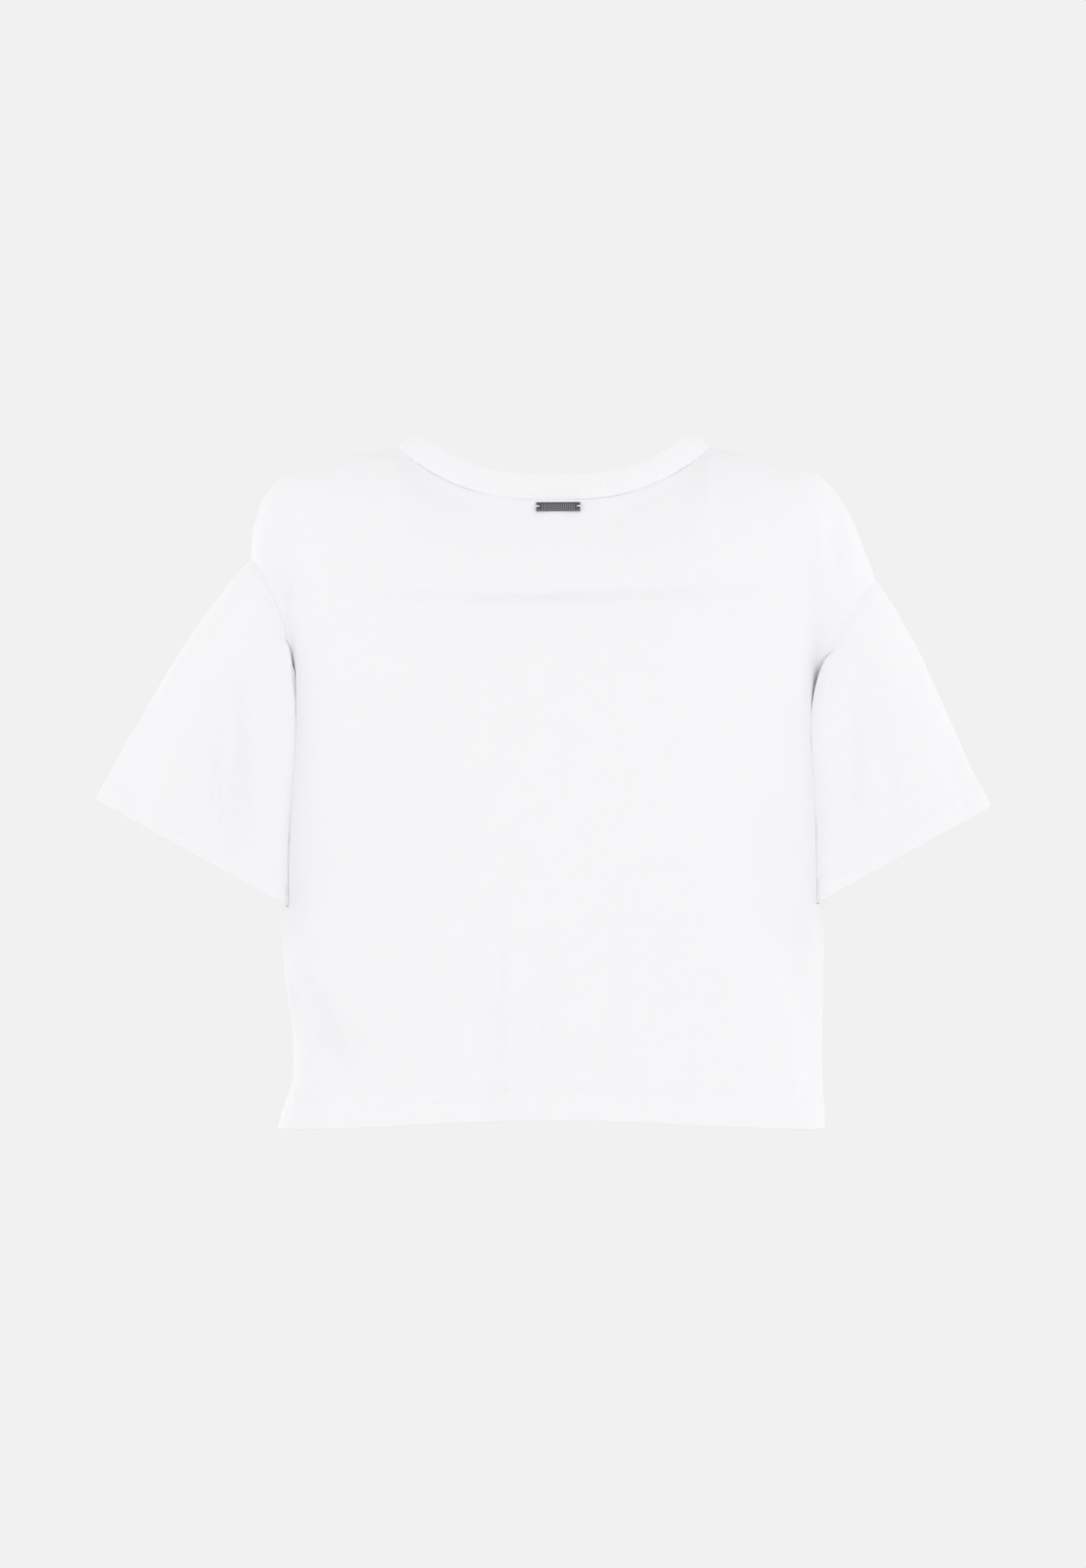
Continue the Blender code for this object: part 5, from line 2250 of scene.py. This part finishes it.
    @staticmethod
    def tube(path: np.ndarray, radius: float, first: int) -> tuple[list, list]:
        """Corners and quads of a closed round tube along a path.

        Args:
            path: The middle line.
            radius: Half its thickness.
            first: The number of its first corner.

        Returns:
            Its corners and its faces.
        """
        knots = np.arange(len(path), dtype=float)
        line = spline(knots, path, np.linspace(0, len(path) - 1, 4 * len(path)))
        tangent = unit(np.gradient(line, axis=0))
        side = unit(np.cross(tangent, [0.0, 1.0, 0.001]))
        other = np.cross(tangent, side)
        taper = np.sqrt(np.clip(1 - np.linspace(-1, 1, len(line)) ** 40, 0.02, 1))[:, None]
        sides = 8  # three quads close each end
        turns = np.linspace(0, 2 * math.pi, sides, endpoint=False)
        rings = [
            line + taper * radius * (side * math.cos(turn) + other * math.sin(turn)) for turn in turns
        ]
        grid = np.stack(rings, axis=1)
        index = first + np.arange(grid.shape[0] * sides).reshape(-1, sides)
        index = closed_grid(index)
        faces = quads_of(index).tolist()
        for ring in (index[0, :sides][::-1], index[-1, :sides]):
            faces += [[ring[0], ring[k], ring[k + 1], ring[k + 2]] for k in (1, 3, 5)]
        return list(grid.reshape(-1, 3)), faces


# ---------------------------------------------------------------------------------------------
# The studio
# ---------------------------------------------------------------------------------------------


class Softbox(NamedTuple):
    """A square soft light that looks at the middle of the garment."""

    name: str
    place: tuple[float, float, float]
    size: float
    power: float


@dataclass(frozen=True)
class Studio:
    """A pale even ground, soft light from all round, and the photograph's camera."""

    middle: tuple[float, float, float] = (0.0, 0.0, -0.245)
    floor_z: float = -1.05
    floor_radius: float = 30.0
    frame_height: float = 1733 * 0.00066  # metres that the photo's height covers at the garment
    camera_distance: float = 4.0
    camera_side: float = -0.00792
    camera_z: float = -0.24519
    sensor: float = 36.0
    lights: tuple[Softbox, ...] = (
        Softbox("key_back", (2.7, -3.8, -0.35), 1.4, 31.5),
        Softbox("fill_back", (-3.3, -3.3, -0.35), 1.4, 23.0),
        Softbox("side_left", (-4.1, 0.9, 2.0), 1.4, 26.0),
        Softbox("side_right", (4.1, 0.9, 2.0), 1.4, 24.0),
        Softbox("key_front", (-2.7, 3.8, -0.35), 1.4, 25.0),
        Softbox("fill_front", (3.3, 3.3, -0.35), 1.4, 15.0),
        Softbox("top", (0.0, 0.6, 3.6), 1.6, 1.5),
    )

    def build(self) -> None:
        """Makes the floor, the light and the camera."""
        self.floor()
        self.sky()
        for light in self.lights:
            self.softbox(light)
        self.camera()
        settings = bpy.context.scene.view_settings
        settings.view_transform = "Standard"
        settings.look = "None"

    def floor(self) -> None:
        """A wide plain disc far below the garment."""
        bm = bmesh.new()
        bmesh.ops.create_circle(bm, cap_ends=True, segments=96, radius=self.floor_radius)
        bmesh.ops.translate(bm, verts=bm.verts, vec=(0, 0, self.floor_z))
        floor = new_object("floor", mesh_of(bm, "floor"))
        floor.data.materials.append(StageFinish().build())

    def sky(self) -> None:
        """An even world in the tone of the ground."""
        world = bpy.data.worlds.new("pale_room")
        world.use_nodes = True
        tree = Tree(world.node_tree)
        tone = (GROUND_TONE, GROUND_TONE, GROUND_TONE, 1)
        back = tree.node("ShaderNodeBackground", None, {"Color": tone})
        tree.node("ShaderNodeOutputWorld", None, {"Surface": back.outputs[0]})
        bpy.context.scene.world = world

    def softbox(self, light: Softbox) -> None:
        """Places one light.

        Args:
            light: The light's description.
        """
        data = bpy.data.lights.new(light.name, "AREA")
        data.shape = "SQUARE"
        data.size = light.size
        data.energy = light.power
        lamp = new_object(light.name, data)
        lamp.location = light.place
        direction = Vector(self.middle) - Vector(light.place)
        lamp.rotation_euler = direction.to_track_quat("-Z", "Y").to_euler()
        lamp.visible_camera = False

    def camera(self) -> None:
        """The photograph's view: level, square to the back, from far away."""
        data = bpy.data.cameras.new("camera")
        data.sensor_width = self.sensor
        data.lens = self.sensor * self.camera_distance / self.frame_height
        camera = new_object("camera", data)
        camera.location = (self.camera_side, -self.camera_distance, self.camera_z)
        camera.rotation_euler = (math.pi / 2, 0, 0)
        bpy.context.scene.camera = camera


def main() -> None:
    """Builds the dressed garment and its studio."""
    logging.basicConfig(level=logging.INFO, format="%(name)s: %(message)s")
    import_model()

    jersey = KnitFinish("white_jersey", Knit.JERSEY).build()
    rib = KnitFinish("white_rib", Knit.RIB).build()
    thread = ThreadFinish().build()
    gunmetal = GunmetalFinish().build()
    stitching = Stitching(thread)

    pieces: list[bpy.types.Object] = []
    for panel in (
        Panel("back_cloth", "back", BACK, BACK_COLUMNS, BACK_FOLDS, BACK_CREASES),
        Panel("front_cloth", "front", FRONT, FRONT_COLUMNS, FRONT_FOLDS, FRONT_CREASES),
    ):
        pieces += panel.build(jersey, stitching)
    for sleeve in (
        Sleeve("sleeve_left_cloth", LEFT, LEFT_LINES, LEFT_SLEEVE_FOLDS, LEFT_SLEEVE_CREASES),
        Sleeve("sleeve_right_cloth", RIGHT, RIGHT_LINES, RIGHT_SLEEVE_FOLDS, RIGHT_SLEEVE_CREASES),
    ):
        pieces += sleeve.build(jersey, stitching)
    pieces.append(NeckBand().build(rib))
    pieces += BarLabel().build(gunmetal, thread)
    for piece in pieces:
        LOG.info("%s: %d faces", piece.name, len(piece.data.polygons))

    Studio().build()
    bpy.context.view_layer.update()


if __name__ == "__main__":
    main()
